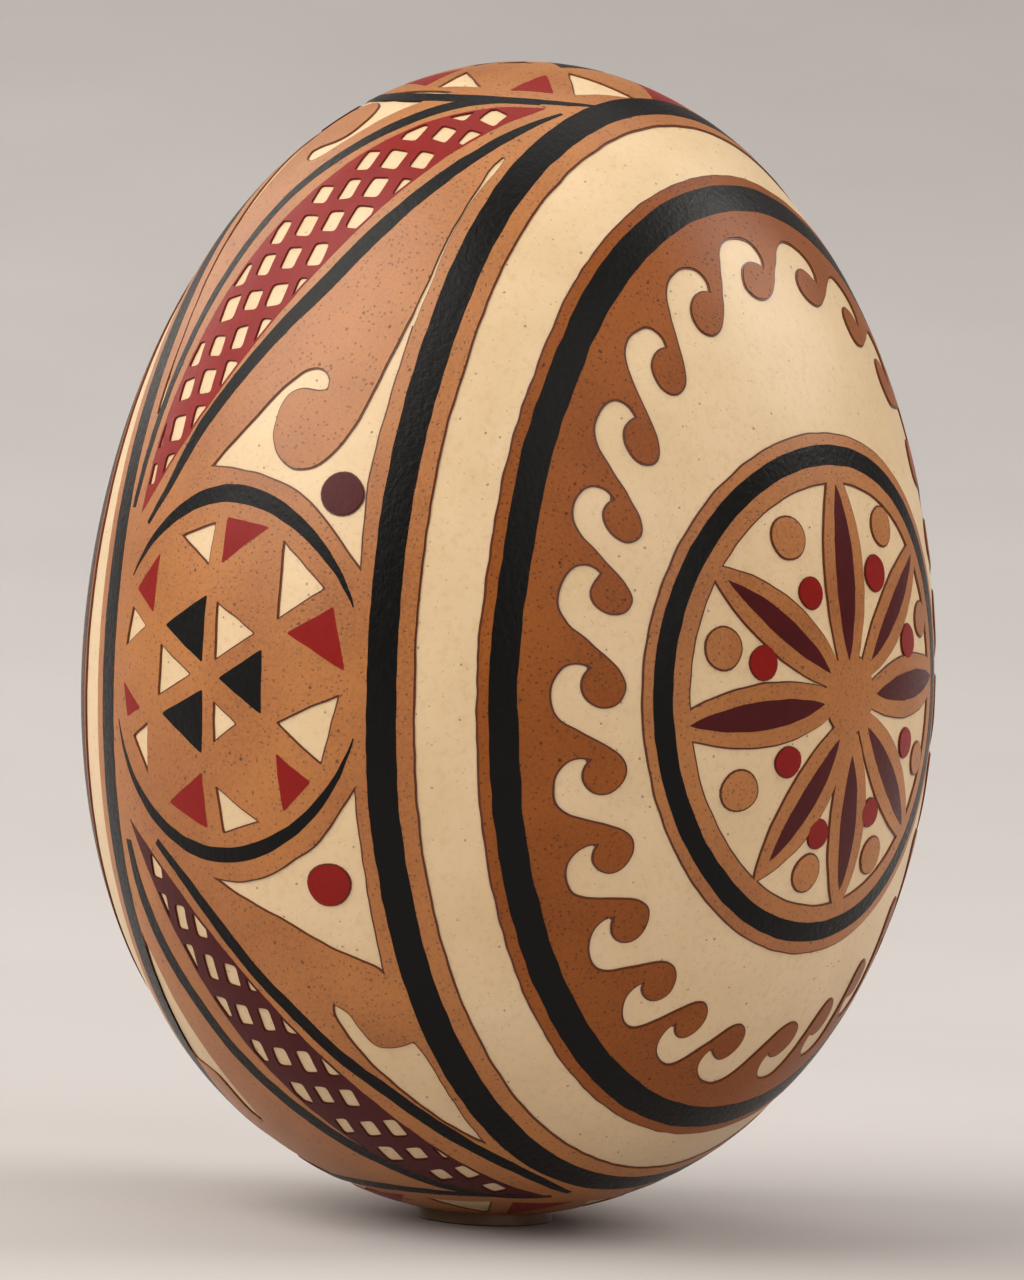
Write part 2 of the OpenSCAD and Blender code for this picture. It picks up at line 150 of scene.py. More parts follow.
@dataclass(frozen=True)
class Outline:
    """A closed line on a flat chart, in millimetres, run anticlockwise."""

    points: np.ndarray

    @staticmethod
    def of(points: Sequence[Point] | np.ndarray) -> Outline:
        """Make an outline of points, turned to run anticlockwise.

        Args:
            points: The corners in order, in millimetres.

        Returns:
            The outline.
        """
        p = np.asarray(points, float)
        return Outline(p if twice_area(p) > 0 else p[::-1].copy())

    @staticmethod
    def through(marks: Sequence[Mark], step: float = 0.22) -> Outline:
        """Draw a smooth closed line through marks; a mark with a third value is a corner.

        Args:
            marks: The marks in order, as (a, b) or (a, b, 1) for a sharp corner.
            step: How far apart the drawn points lie, in millimetres.

        Returns:
            The outline.
        """
        p = np.array([m[:2] for m in marks], float)
        sharp = [len(m) > 2 for m in marks]
        count = len(p)
        drawn = []
        for i in range(count):
            j, k = (i + 1) % count, (i + 2) % count
            run = np.linalg.norm(p[j] - p[i])
            before = np.linalg.norm(p[i] - p[i - 1])
            after = np.linalg.norm(p[k] - p[j])
            start = p[j] - p[i] if sharp[i] else (p[j] - p[i - 1]) * run / (run + before)
            end = p[j] - p[i] if sharp[j] else (p[k] - p[i]) * run / (run + after)
            t = np.linspace(0, 1, max(2, round(run / step)), endpoint=False)[:, None]
            drawn.append(eased(t, p[i], start, p[j], end))
        return Outline.of(np.concatenate(drawn))

    @staticmethod
    def ellipse(centre: Point, across: float, up: float | None = None) -> Outline:
        """Draw a circle, or an ellipse where the second half-width is given."""
        up = across if up is None else up
        count = max(FEWEST_ROUND, round(2 * math.pi * max(across, up) / ROUND_STEP))
        a = np.linspace(0, 2 * math.pi, count, endpoint=False)
        return Outline.of(
            np.stack([centre[0] + across * np.cos(a), centre[1] + up * np.sin(a)], 1)
        )

    @staticmethod
    def polygon(corners: Sequence[Point], rounding: float = 0.12, step: float = 0.4) -> Outline:
        """Draw a straight-sided shape whose corners are a little rounded.

        Args:
            corners: The corners in order.
            rounding: How far from a corner its curve starts.
            step: How far apart points lie on a straight side.

        Returns:
            The outline.
        """
        p = np.asarray(corners, float)
        drawn: list[np.ndarray] = []
        for i in range(len(p)):
            to_last, to_next = p[i - 1] - p[i], p[(i + 1) % len(p)] - p[i]
            length = float(np.linalg.norm(to_next))
            cut = min(rounding, 0.3 * length, 0.3 * float(np.linalg.norm(to_last)))
            a = p[i] + to_last / np.linalg.norm(to_last) * cut
            b = p[i] + to_next / length * cut
            drawn += [a, (a + b + 2 * p[i]) / 4, b]
            inner = max(0, round((length - 2 * cut) / step) - 1)
            far = p[i] + to_next * (1 - cut / length)
            drawn += [b + (far - b) * (k + 1) / (inner + 1) for k in range(inner)]
        return Outline.of(np.array(drawn))

    @staticmethod
    def leaf(start: Point, end: Point, left: float, right: float, power: float = 1.0) -> Outline:
        """Draw a pointed leaf from one tip to the other.

        Args:
            start: The first tip.
            end: The second tip.
            left: How far the left edge bulges from the straight line between the tips.
            right: How far the right edge bulges.
            power: How full the edges are, where 1 is a plain arc.

        Returns:
            The outline.
        """
        a, b = np.array(start, float), np.array(end, float)
        along = b - a
        across = np.array([-along[1], along[0]]) / np.linalg.norm(along)
        t = np.linspace(0, 1, max(10, round(float(np.linalg.norm(along)) / 0.35)))[:, None]
        swell = (4 * t * (1 - t)) ** power
        way_out = a + along * t - across * right * swell
        way_back = a + along * t + across * left * swell
        return Outline.of(np.concatenate([way_out, way_back[-2:0:-1]]))

    @staticmethod
    def stroke(marks: Sequence[tuple[float, float, float]], step: float = 0.5) -> Outline:
        """Draw a brush stroke of changing width along a smooth line.

        Args:
            marks: (a, b, width) along the stroke.
            step: How far apart the drawn points lie.

        Returns:
            The outline.
        """
        m = np.asarray(marks, float)
        run = np.concatenate([[0], np.cumsum(np.hypot(*np.diff(m[:, :2], axis=0).T))])
        slope = np.gradient(m, run, axis=0)
        drawn = []
        for i in range(len(m) - 1):
            span = run[i + 1] - run[i]
            t = np.linspace(0, 1, max(2, round(span / step)), endpoint=i == len(m) - 2)[:, None]
            drawn.append(eased(t, m[i], slope[i] * span, m[i + 1], slope[i + 1] * span))
        line = np.concatenate(drawn)
        tangent = np.gradient(line[:, :2], axis=0)
        tangent /= np.linalg.norm(tangent, axis=1)[:, None]
        across = np.stack([-tangent[:, 1], tangent[:, 0]], 1) * line[:, 2:] / 2
        return Outline.of(np.concatenate([line[:, :2] - across, (line[:, :2] + across)[::-1]]))

    def moved(self, way: Callable[[np.ndarray], np.ndarray]) -> Outline:
        """Return the outline with its points moved by a function of all of them."""
        return Outline.of(way(self.points))

    def shrunk(self, gap: float) -> Outline:
        """Draw the line that runs inside this one at a distance, or outside if negative.

        Args:
            gap: The distance, in millimetres.

        Returns:
            The outline, without the parts where there is no room for it.
        """
        p = self.points
        edge = np.roll(p, -1, axis=0) - p
        length = np.linalg.norm(edge, axis=1)
        long = length > TINY
        p, edge, length = p[long], edge[long], length[long]
        parts = np.maximum(1, np.round(length / OFFSET_STEP)).astype(int)
        inward = np.stack([-edge[:, 1], edge[:, 0]], 1) / length[:, None] * gap
        moved = np.concatenate(
            [
                p[i] + inward[i] + edge[i] * ((np.arange(n) + 0.5) / n)[:, None]
                for i, n in enumerate(parts)
            ]
        )
        reach = moved[:, None] - p[None]
        t = np.clip((reach * edge).sum(2) / length**2, 0, 1)
        away = np.linalg.norm(reach - edge * t[..., None], axis=2).min(1)
        return Outline.of(moved[away > abs(gap) - TINY])

    def clipped(self, window: Outline) -> Outline | None:
        """Return the part inside a bulging window, or None if little is left.

        Args:
            window: A convex outline.

        Returns:
            The clipped outline with rounded corners, or None.
        """
        shape = list(self.points)
        w = window.points
        for a, b in zip(w, np.roll(w, -1, axis=0)):
            side = [(b[0] - a[0]) * (p[1] - a[1]) - (b[1] - a[1]) * (p[0] - a[0]) for p in shape]
            kept = []
            for i, p in enumerate(shape):
                last = shape[i - 1]
                if (side[i] >= 0) != (side[i - 1] >= 0):
                    kept.append(last + (p - last) * side[i - 1] / (side[i - 1] - side[i]))
                if side[i] >= 0:
                    kept.append(p)
            shape = kept
            if len(shape) < 3:
                return None
        p = np.array(shape)
        p = p[np.linalg.norm(p - np.roll(p, 1, axis=0), axis=1) > SHORTEST_CLIP]
        if len(p) < 3:
            return None
        area = abs(twice_area(p)) / 2
        return Outline.polygon(p, rounding=CLIP_ROUNDING) if area > SMALLEST_CLIP else None


# ---------------------------------------------------------------- the workbench


@contextmanager
def editing(select: str = "") -> Iterator[None]:
    """Edit the active piece's mesh, first with SELECT or DESELECT done to all of it."""
    bpy.ops.object.mode_set(mode="EDIT")
    if select:
        bpy.ops.mesh.select_all(action=select)
    yield
    bpy.ops.object.mode_set(mode="OBJECT")


def close_skin() -> None:
    """Turn every face of the piece being edited outwards."""
    bpy.ops.mesh.select_all(action="SELECT")
    bpy.ops.mesh.normals_make_consistent(inside=False)


def lift(height: float) -> None:
    """Extrude the selected faces or edges straight up."""
    bpy.ops.mesh.extrude_region_move(TRANSFORM_OT_translate={"value": (0, 0, height)})


class Bench:
    """Hand tools: sheets, stencils and cuts, all on flat work in millimetres."""

    @staticmethod
    def pick(*pieces: bpy.types.Object) -> None:
        """Select these pieces alone, the first one active."""
        bpy.ops.object.select_all(action="DESELECT")
        for piece in pieces:
            piece.select_set(True)
        bpy.context.view_layer.objects.active = pieces[0]

    @staticmethod
    def thicken(piece: bpy.types.Object, height: float) -> None:
        """Extrude a flat piece upwards into a closed one."""
        Bench.pick(piece)
        with editing("SELECT"):
            lift(height)
            close_skin()

    @staticmethod
    def sheet(low: Point, high: Point, cell: float) -> bpy.types.Object:
        """Lay out a flat sheet one unit thick.

        Args:
            low: Its lowest corner.
            high: Its highest corner.
            cell: About how wide its cells are.

        Returns:
            The sheet.
        """
        size = np.array(high) - np.array(low)
        across, along = (max(2, round(float(v) / cell)) for v in size)
        bpy.ops.mesh.primitive_grid_add(x_subdivisions=across, y_subdivisions=along, size=1)
        sheet = bpy.context.object
        co = Bench.read(sheet)
        co[:, :2] = (co[:, :2] + 0.5) * size + np.array(low)
        Bench.write(sheet, co)
        Bench.thicken(sheet, 1.0)
        return sheet

    @staticmethod
    def stencil(outlines: Iterable[Outline]) -> bpy.types.Object:
        """Stand closed prisms on outlines, which don't overlap each other."""
        made = []
        for outline in outlines:
            count = len(outline.points)
            bpy.ops.mesh.primitive_circle_add(vertices=count, radius=1, fill_type="NGON")
            disc = bpy.context.object
            flat = np.full((count, 3), -1.0)
            flat[:, :2] = outline.points
            Bench.write(disc, flat)
            made.append(disc)
        Bench.pick(*made)
        if len(made) > 1:
            bpy.ops.object.join()
        Bench.thicken(made[0], 3.0)
        return made[0]

    @staticmethod
    def cut(piece: bpy.types.Object, tool: bpy.types.Object, cut: Cut) -> None:
        """Cut a piece with a tool, which is kept."""
        Bench.pick(piece)
        modifier = piece.modifiers.new("cut", "BOOLEAN")
        modifier.operation = cut.value
        modifier.solver = "MANIFOLD"
        modifier.object = tool
        bpy.ops.object.modifier_apply(modifier=modifier.name)

    @staticmethod
    def copy(piece: bpy.types.Object) -> bpy.types.Object:
        """Copy a piece with a mesh of its own."""
        other = piece.copy()
        other.data = piece.data.copy()
        bpy.context.collection.objects.link(other)
        return other

    @staticmethod
    def discard(*pieces: bpy.types.Object) -> None:
        """Throw away work that is done with."""
        for piece in pieces:
            mesh = piece.data
            bpy.data.objects.remove(piece, do_unlink=True)
            bpy.data.meshes.remove(mesh)

    @staticmethod
    def carve(
        sheet: bpy.types.Object,
        keep: Sequence[Sequence[Outline]] = (),
        drop: Sequence[Sequence[Outline]] = (),
    ) -> bpy.types.Object:
        """Cut a copy of a sheet with groups of outlines.

        Args:
            sheet: The sheet, which stays as it is.
            keep: Groups; the copy keeps only what is inside each.
            drop: Groups; the copy loses what is inside each.

        Returns:
            The cut copy.
        """
        piece = Bench.copy(sheet)
        for groups, cut in ((keep, Cut.KEEP), (drop, Cut.DROP)):
            for group in groups:
                tool = Bench.stencil(group)
                Bench.cut(piece, tool, cut)
                Bench.discard(tool)
        return piece

    @staticmethod
    def joined(*pieces: bpy.types.Object) -> bpy.types.Object:
        """Join pieces into the first one."""
        Bench.pick(*pieces)
        bpy.ops.object.join()
        return pieces[0]

    @staticmethod
    def read(piece: bpy.types.Object) -> np.ndarray:
        """Read a piece's vertex places."""
        co = np.empty(len(piece.data.vertices) * 3)
        piece.data.vertices.foreach_get("co", co)
        return co.reshape(-1, 3)

    @staticmethod
    def write(piece: bpy.types.Object, co: np.ndarray) -> None:
        """Write a piece's vertex places."""
        piece.data.vertices.foreach_set("co", np.ascontiguousarray(co, float).ravel())
        piece.data.update()


# ---------------------------------------------------------------- the egg's form


@dataclass
class EggForm:
    """The shell's outer surface, and the charts that carry flat work onto it.

    Lengths are in millimetres and heights are from the egg's middle.
    """

    taper: float = 0.066
    fullness: float = 0.042
    upper_fullness: float = 0.018
    loop_middle: float = -1.5
    waver: float = 0.10
    waver_size: float = 7.0
    tremble: float = 0.045
    tremble_size: float = 0.9
    hand_seed: int = 7
    half_length: float = field(init=False)
    middle: float = field(init=False)
    radius: float = field(init=False)
    loop_angle: np.ndarray = field(init=False)
    loop_run: np.ndarray = field(init=False)

    def __post_init__(self) -> None:
        """Take the size from the shell's own box, and measure the belt's loop."""
        # Without a seed, or with 0, the noise takes one from the clock and each run differs
        noise.seed_set(self.hand_seed)
        low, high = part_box("shell")
        self.half_length = (high.z - low.z) / 2 / MM
        self.middle = (high.z + low.z) / 2 / MM
        t = np.linspace(-0.5, 0.5, 1001)
        widest = float(np.max(np.sqrt(1 - t * t) * self.width_at(t)))
        self.radius = max(high.x - low.x, high.y - low.y) / 2 / MM / widest
        self.loop_angle = np.radians(np.linspace(-180, 180, 7201))
        rho = self._reach(np.zeros_like(self.loop_angle), self.loop_angle)
        steps = np.hypot(
            np.diff(rho * np.cos(self.loop_angle)), np.diff(rho * np.sin(self.loop_angle))
        )
        self.loop_run = np.concatenate([[0], np.cumsum(steps)])
        self.loop_run -= np.interp(0, self.loop_angle, self.loop_run)

    def width_at(self, t: np.ndarray) -> np.ndarray:
        """How much wider than an ellipse the egg is at height t, from -1 to 1."""
        return 1 - self.taper * t + self.fullness * t**2 + self.upper_fullness * t**3

    def radius_sq(self, z: np.ndarray) -> np.ndarray:
        """The square of the radius at a height; negative past the ends."""
        t = z / self.half_length
        return self.radius**2 * (1 - t * t) * self.width_at(np.clip(t, -1, 1)) ** 2

    def normal(self, p: np.ndarray) -> np.ndarray:
        """The outward directions at points of the surface."""
        step = 0.01
        slope = (self.radius_sq(p[:, 2] + step) - self.radius_sq(p[:, 2] - step)) / (2 * step)
        n = np.stack([2 * p[:, 0], 2 * p[:, 1], -slope], 1)
        return n / np.linalg.norm(n, axis=1)[:, None]

    def _reach(self, x: np.ndarray, angle: np.ndarray) -> np.ndarray:
        """How far from the X axis the surface is, at x and in a direction round it."""
        low, high = np.zeros_like(x), np.full_like(x, 1.6 * self.half_length)
        for _ in range(42):
            middle = (low + high) / 2
            z = self.loop_middle + middle * np.sin(angle)
            inside = x**2 + (middle * np.cos(angle)) ** 2 < self.radius_sq(z)
            low, high = np.where(inside, middle, low), np.where(inside, high, middle)
        return low

    def on_belt(self, flat: np.ndarray) -> np.ndarray:
        """Carry belt places (x, run round the loop) to the surface."""
        start, end = self.loop_run[0], self.loop_run[-1]
        run = start + (flat[:, 1] - start) % (end - start)
        angle = np.interp(run, self.loop_run, self.loop_angle)
        rho = self._reach(flat[:, 0], angle)
        return np.stack(
            [flat[:, 0], -rho * np.cos(angle), self.loop_middle + rho * np.sin(angle)], 1
        )

    def on_side(self, flat: np.ndarray, side: Side) -> np.ndarray:
        """Carry side places (y, z) to the surface of the right or the left side."""
        x = np.sqrt(np.maximum(self.radius_sq(flat[:, 1]) - flat[:, 0] ** 2, 1e-6))
        return np.stack([side.value * x, side.value * flat[:, 0], flat[:, 1]], 1)

    def _hand(self, p: np.ndarray) -> np.ndarray:
        """How far a hand strays at places on the egg, in the chart's two directions."""
        strayed = np.empty((len(p), 2))
        for i, place in enumerate(p.tolist()):
            v = Vector(place)
            slow = noise.noise_vector(v / self.waver_size)
            fast = noise.noise_vector(v / self.tremble_size)
            strayed[i] = slow.x * self.waver + fast.x * self.tremble, (
                slow.z * self.waver + fast.z * self.tremble
            )
        return strayed

    def lay(
        self,
        piece: bpy.types.Object,
        chart: Callable[[np.ndarray], np.ndarray],
        layer: Layer,
        name: str,
    ) -> None:
        """Lay a cut sheet over the egg, in metres and in the frame's place.

        Args:
            piece: The flat piece, between heights 0 and 1.
            chart: What carries flat places to the surface.
            layer: How high its faces lie.
            name: Its name from then on.
        """
        co = Bench.read(piece)
        flat = co[:, :2] + self._hand(chart(co[:, :2]))
        p = chart(flat)
        low, high = layer.value
        p += self.normal(p) * (low + (high - low) * co[:, 2:3])
        p[:, 2] += self.middle
        Bench.write(piece, p * MM)
        piece.name = piece.data.name = name


# ---------------------------------------------------------------- finishes


def linear(colour: Colour) -> tuple[float, float, float, float]:
    """Turn a colour from 0 to 255 into the linear one that shaders take."""
    share = [v / 255 for v in colour]
    return (
        *[v / 12.92 if v <= 0.04045 else ((v + 0.055) / 1.055) ** 2.4 for v in share],
        1.0,
    )


class NodeBoard:
    """A material's node tree, with patterns measured in millimetres of the object."""

    def __init__(self, name: str) -> None:
        """Start a material with the piece's own place as its coordinates."""
        self.material = bpy.data.materials.new(name)
        self.material.use_nodes = True
        self.tree = self.material.node_tree
        self.shader = self.tree.nodes["Principled BSDF"]
        place = self.tree.nodes.new("ShaderNodeTexCoord")
        mapping = self.tree.nodes.new("ShaderNodeMapping")
        mapping.inputs["Scale"].default_value = (1 / MM,) * 3
        self.tree.links.new(place.outputs["Object"], mapping.inputs["Vector"])
        self.place = mapping.outputs["Vector"]

    def _node(self, kind: str, **inputs: object) -> bpy.types.Node:
        """Add a node and set or link its inputs; a number key is an input's place."""
        node = self.tree.nodes.new(kind)
        for key, value in inputs.items():
            socket = node.inputs[int(key[1:])] if key[0] == "_" else node.inputs[key]
            if isinstance(value, bpy.types.NodeSocket):
                self.tree.links.new(value, socket)
            else:
                socket.default_value = value
        return node

    def cloud(
        self, size: float, detail: float = 3.0, rough: float = 0.5, twist: float = 0.0,
        stretch: tuple[float, float, float] | None = None,
    ) -> bpy.types.NodeSocket:
        """Cloudy values about one half, in patches of a size in millimetres."""
        place = self.place
        if stretch is not None:
            turned = self._node("ShaderNodeMapping", Vector=place, Scale=stretch)
            place = turned.outputs["Vector"]
        node = self._node(
            "ShaderNodeTexNoise", Vector=place, Scale=1 / size, Detail=detail,
            Roughness=rough, Distortion=twist,
        )
        return node.outputs[0]

    def ramp(self, value: bpy.types.NodeSocket, low: float, high: float,
             to_low: float = 0.0, to_high: float = 1.0) -> bpy.types.NodeSocket:
        """Carry values between two bounds to another range, and hold them there."""
        node = self._node("ShaderNodeMapRange", _0=value, _1=low, _2=high, _3=to_low, _4=to_high)
        return node.outputs[0]

    def specks(self, apart: float, radius: float, share: float) -> bpy.types.NodeSocket:
        """Small round specks: 1 inside one and 0 elsewhere.

        Args:
            apart: About how far apart they lie, in millimetres.
            radius: Their radius, in millimetres.
            share: What share of their places holds one.

        Returns:
            The value.
        """
        bent = self._node("ShaderNodeVectorMath", _0=self.place)
        stray = self._node("ShaderNodeTexNoise", Vector=self.place, Scale=1 / (radius * 2.2))
        bent.operation = "ADD"
        scaled = self._node("ShaderNodeVectorMath", _0=stray.outputs["Color"])
        scaled.operation = "SCALE"
        scaled.inputs["Scale"].default_value = radius * 1.1
        self.tree.links.new(scaled.outputs[0], bent.inputs[1])
        cells = self._node("ShaderNodeTexVoronoi", Vector=bent.outputs[0], Scale=1 / apart)
        near = self.ramp(cells.outputs["Distance"], radius / apart, radius / apart * 0.45)
        split = self._node("ShaderNodeSeparateColor", Color=cells.outputs["Color"])
        here = self.ramp(split.outputs[0], share, share - 0.12)
        return self.math("MULTIPLY", near, here)

    def math(self, operation: str, a: bpy.types.NodeSocket | float,
             b: bpy.types.NodeSocket | float) -> bpy.types.NodeSocket:
        """Work out one value from two."""
        node = self._node("ShaderNodeMath", _0=a, _1=b)
        node.operation = operation
        return node.outputs[0]

    def mix(self, share: bpy.types.NodeSocket | float, a: object, b: object) -> bpy.types.NodeSocket:
        """Mix two colours by a share."""
        node = self.tree.nodes.new("ShaderNodeMix")
        node.data_type = "RGBA"
        for socket, value in ((node.inputs[0], share), (node.inputs[6], a), (node.inputs[7], b)):
            if isinstance(value, bpy.types.NodeSocket):
                self.tree.links.new(value, socket)
            else:
                socket.default_value = value
        return node.outputs[2]

    def patchy(self, finish: Finish, cloud: bpy.types.NodeSocket, low: float = 0.3,
               high: float = 0.7, most: float = 1.0) -> bpy.types.NodeSocket:
        """Colour a finish in patches of its own colour and its light one."""
        share = self.ramp(cloud, low, high, 0, most)
        return self.mix(share, linear(finish.colour), linear(finish.light))

    def marked(self, colour: bpy.types.NodeSocket, marks: bpy.types.NodeSocket, share: float,
               dark: Colour) -> bpy.types.NodeSocket:
        """Darken a colour by a share where marks are."""
        return self.mix(self.math("MULTIPLY", marks, share), colour, linear(dark))

    def finish(
        self, finish: Finish, colour: bpy.types.NodeSocket, rough: bpy.types.NodeSocket,
        relief: bpy.types.NodeSocket, depth: float,
    ) -> bpy.types.Material:
        """Join the patterns to the shader.

        Args:
            finish: Whose varnish it takes.
            colour: The base colour.
            rough: The roughness.
            relief: The height pattern.
            depth: How deep the relief is, in millimetres.

        Returns:
            The material.
        """
        bump = self._node("ShaderNodeBump", Height=relief, Distance=depth * MM, Strength=1.0)
        self.tree.links.new(colour, self.shader.inputs["Base Color"])
        self.tree.links.new(rough, self.shader.inputs["Roughness"])
        self.tree.links.new(bump.outputs[0], self.shader.inputs["Normal"])
        self.shader.inputs["Coat Weight"].default_value = finish.coat
        self.shader.inputs["Coat Roughness"].default_value = finish.coat_rough
        self.shader.inputs["Specular IOR Level"].default_value = finish.gleam
        return self.material


@dataclass(frozen=True)
class Finish:
    """What every finish has: a name, colours and a varnish."""

    name: str
    colour: Colour
    light: Colour
    dark: Colour
    coat: float = 0.22
    coat_rough: float = 0.36
    gleam: float = 0.35

    def make(self) -> bpy.types.Material:
        """Make the material."""
        raise NotImplementedError


@dataclass(frozen=True)
class SpeckledSkin(Finish):
    """Brown stained skin, full of fine dark pores."""

    coat: float = 0.26
    coat_rough: float = 0.42
    gleam: float = 0.45
    pore_r: float = 0.075
    spot_r: float = 0.115

    def make(self) -> bpy.types.Material:
        """Make the material."""
        board = NodeBoard(self.name)
        colour = board.patchy(self, board.cloud(7.0))
        grain = board.cloud(0.16, detail=3, rough=0.6)
        colour = board.mix(board.ramp(grain, 0.5, 0.7, 0, 0.45), colour, linear(self.light))
        colour = board.mix(board.ramp(grain, 0.5, 0.3, 0, 0.25), colour, linear(self.dark))
        fine = board.specks(0.27, self.pore_r, 0.95)
        spots = board.specks(0.75, self.spot_r, 0.5)
        pores = board.math("MAXIMUM", board.math("MULTIPLY", fine, 0.75), spots)
        colour = board.marked(colour, pores, 0.8, self.dark)
        relief = board.math("SUBTRACT", board.math("MULTIPLY", grain, 0.7), pores)
        rough = board.ramp(grain, 0.3, 0.7, 0.34, 0.5)
        return board.finish(self, colour, rough, relief, 0.016)


@dataclass(frozen=True)
class BareShell(Finish):
    """Etched cream shell: chalky grain and scattered pores."""

    coat: float = 0.3
    coat_rough: float = 0.34
    pore_r: float = 0.08
    pore_colour: Colour = (126, 92, 58)

    def make(self) -> bpy.types.Material:
        """Make the material."""
        board = NodeBoard(self.name)
        colour = board.patchy(self, board.cloud(5.0, detail=4), 0.32, 0.68)
        grain = board.cloud(0.4, detail=4, rough=0.6)
        colour = board.mix(board.ramp(grain, 0.5, 0.28, 0, 0.3), colour, linear(self.dark))
        pores = board.specks(0.6, self.pore_r, 0.5)
        dust = board.specks(0.3, 0.05, 0.55)
        marks = board.math("MAXIMUM", pores, board.math("MULTIPLY", dust, 0.5))
        colour = board.marked(colour, marks, 0.75, self.pore_colour)
        relief = board.math("SUBTRACT", grain, marks)
        rough = board.ramp(grain, 0.3, 0.7, 0.42, 0.56)
        return board.finish(self, colour, rough, relief, 0.02)


@dataclass(frozen=True)
class BrushedDye(Finish):
    """Dye laid on with a brush over the skin, wrinkled as it dried."""

    wrinkle: float = 0.03
    wrinkle_size: float = 0.45
    cloudy: float = 0.5
    stretch: tuple[float, float, float] = (1.5, 1.5, 0.62)

    def make(self) -> bpy.types.Material:
        """Make the material."""
        board = NodeBoard(self.name)
        colour = board.patchy(self, board.cloud(1.6, detail=4, rough=0.6), most=self.cloudy)
        specks = board.specks(0.5, 0.05, 0.3)
        colour = board.marked(colour, specks, 0.6, self.dark)
        folds = board.cloud(
            self.wrinkle_size, detail=3, rough=0.55, twist=0.3, stretch=self.stretch
        )
        fine = board.cloud(0.22, detail=2)
        relief = board.math("ADD", folds, board.math("MULTIPLY", fine, 0.16))
        rough = board.ramp(fine, 0.3, 0.7, 0.3, 0.44)
        return board.finish(self, colour, rough, relief, self.wrinkle)


@dataclass(frozen=True)
class SoftMatter(Finish):
    """Wax and membrane: cloudy and a little translucent."""

    patch: float = 1.4
    depth: float = 0.03
    glow: float = 0.25

    def make(self) -> bpy.types.Material:
        """Make the material."""
        board = NodeBoard(self.name)
        colour = board.patchy(self, board.cloud(self.patch, detail=4))
        specks = board.specks(0.8, 0.05, 0.25)
        colour = board.marked(colour, specks, 0.5, self.dark)
        relief = board.cloud(0.5, detail=3)
        rough = board.ramp(relief, 0.3, 0.7, 0.4, 0.6)
        board.shader.inputs["Subsurface Weight"].default_value = self.glow
        board.shader.inputs["Subsurface Scale"].default_value = 0.6 * MM
        return board.finish(self, colour, rough, relief, self.depth)


@dataclass(frozen=True)
class Backdrop(Finish):
    """Pale matt paper to stand the egg on."""

    def make(self) -> bpy.types.Material:
        """Make the material."""
        board = NodeBoard(self.name)
        colour = board.patchy(self, board.cloud(60.0))
        weave = board.cloud(0.8, detail=3)
        return board.finish(self, colour, board.ramp(weave, 0.3, 0.7, 0.85, 0.95), weave, 0.02)


@dataclass
class Palette:
    """Every finish of the egg, each made once."""

    brown: SpeckledSkin = SpeckledSkin("brown_skin", (152, 88, 34), (180, 114, 52), (64, 28, 12))
    deep: SpeckledSkin = SpeckledSkin("deep_skin", (128, 64, 14), (150, 82, 25), (48, 20, 8),
                                      coat=0.1, gleam=0.2)
    cream: BareShell = BareShell("bare_shell", (216, 187, 145), (225, 197, 158), (192, 157, 113))
    black: BrushedDye = BrushedDye(
        "black_dye", (5, 4, 4), (10, 8, 8), (28, 14, 10), wrinkle=0.04, wrinkle_size=0.3,
        stretch=(1.0, 1.0, 0.75), coat=0.1, gleam=0.12
    )
    red: BrushedDye = BrushedDye(
        "red_dye", (126, 15, 11), (144, 23, 17), (60, 9, 7), wrinkle=0.012, coat=0.1, gleam=0.15
    )
    maroon: BrushedDye = BrushedDye(
        "maroon_dye", (66, 10, 12), (84, 18, 22), (34, 6, 6), wrinkle=0.012, coat=0.1, gleam=0.15
    )
    edge: BrushedDye = BrushedDye(
        "dark_edge", (84, 34, 16), (104, 46, 22), (48, 18, 8), wrinkle=0.01, coat=0.1
    )
    # The foot's wax is coloured darker than beeswax's own colour so that it passes for the shade under
    # the egg: painted shade.
    wax: SoftMatter = SoftMatter("beeswax", (92, 60, 30), (112, 76, 42), (60, 36, 18), glow=0.1)
    skin: SoftMatter = SoftMatter("membrane", (232, 224, 208), (242, 236, 224), (200, 188, 166))
    made: dict[str, bpy.types.Material] = field(default_factory=dict)

    def dress(self, piece: bpy.types.Object, finish: Finish) -> None:
        """Give a piece a finish in every slot it has."""
        material = self.made.get(finish.name)
        if material is None:
            material = self.made[finish.name] = finish.make()
        if not piece.material_slots:
            piece.data.materials.append(material)
        for slot in piece.material_slots:
            slot.material = material


@dataclass
class Assembly:
    """What every sub-assembly works with."""

    form: EggForm
    palette: Palette

    def settle(
        self, piece: bpy.types.Object, finish: Finish, slot: Slot, nodes: Sequence[str] = ()
    ) -> None:
        """Smooth a finished piece, dress it, hang it on the root, and hide the CAD nodes that it stands
        for.

        Args:
            piece: The piece, in its place.
            finish: What it is dressed in.
            slot: The record's slot; not used.
            nodes: The CAD nodes that it stands for.
        """
        Bench.pick(piece)
        bpy.ops.object.shade_smooth_by_angle(angle=math.radians(35))
        self.palette.dress(piece, finish)
        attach(piece, "root")
        if nodes:
            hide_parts(*nodes)
        LOG.info("%s: %d faces", piece.name, len(piece.data.polygons))


# ---------------------------------------------------------------- the shell


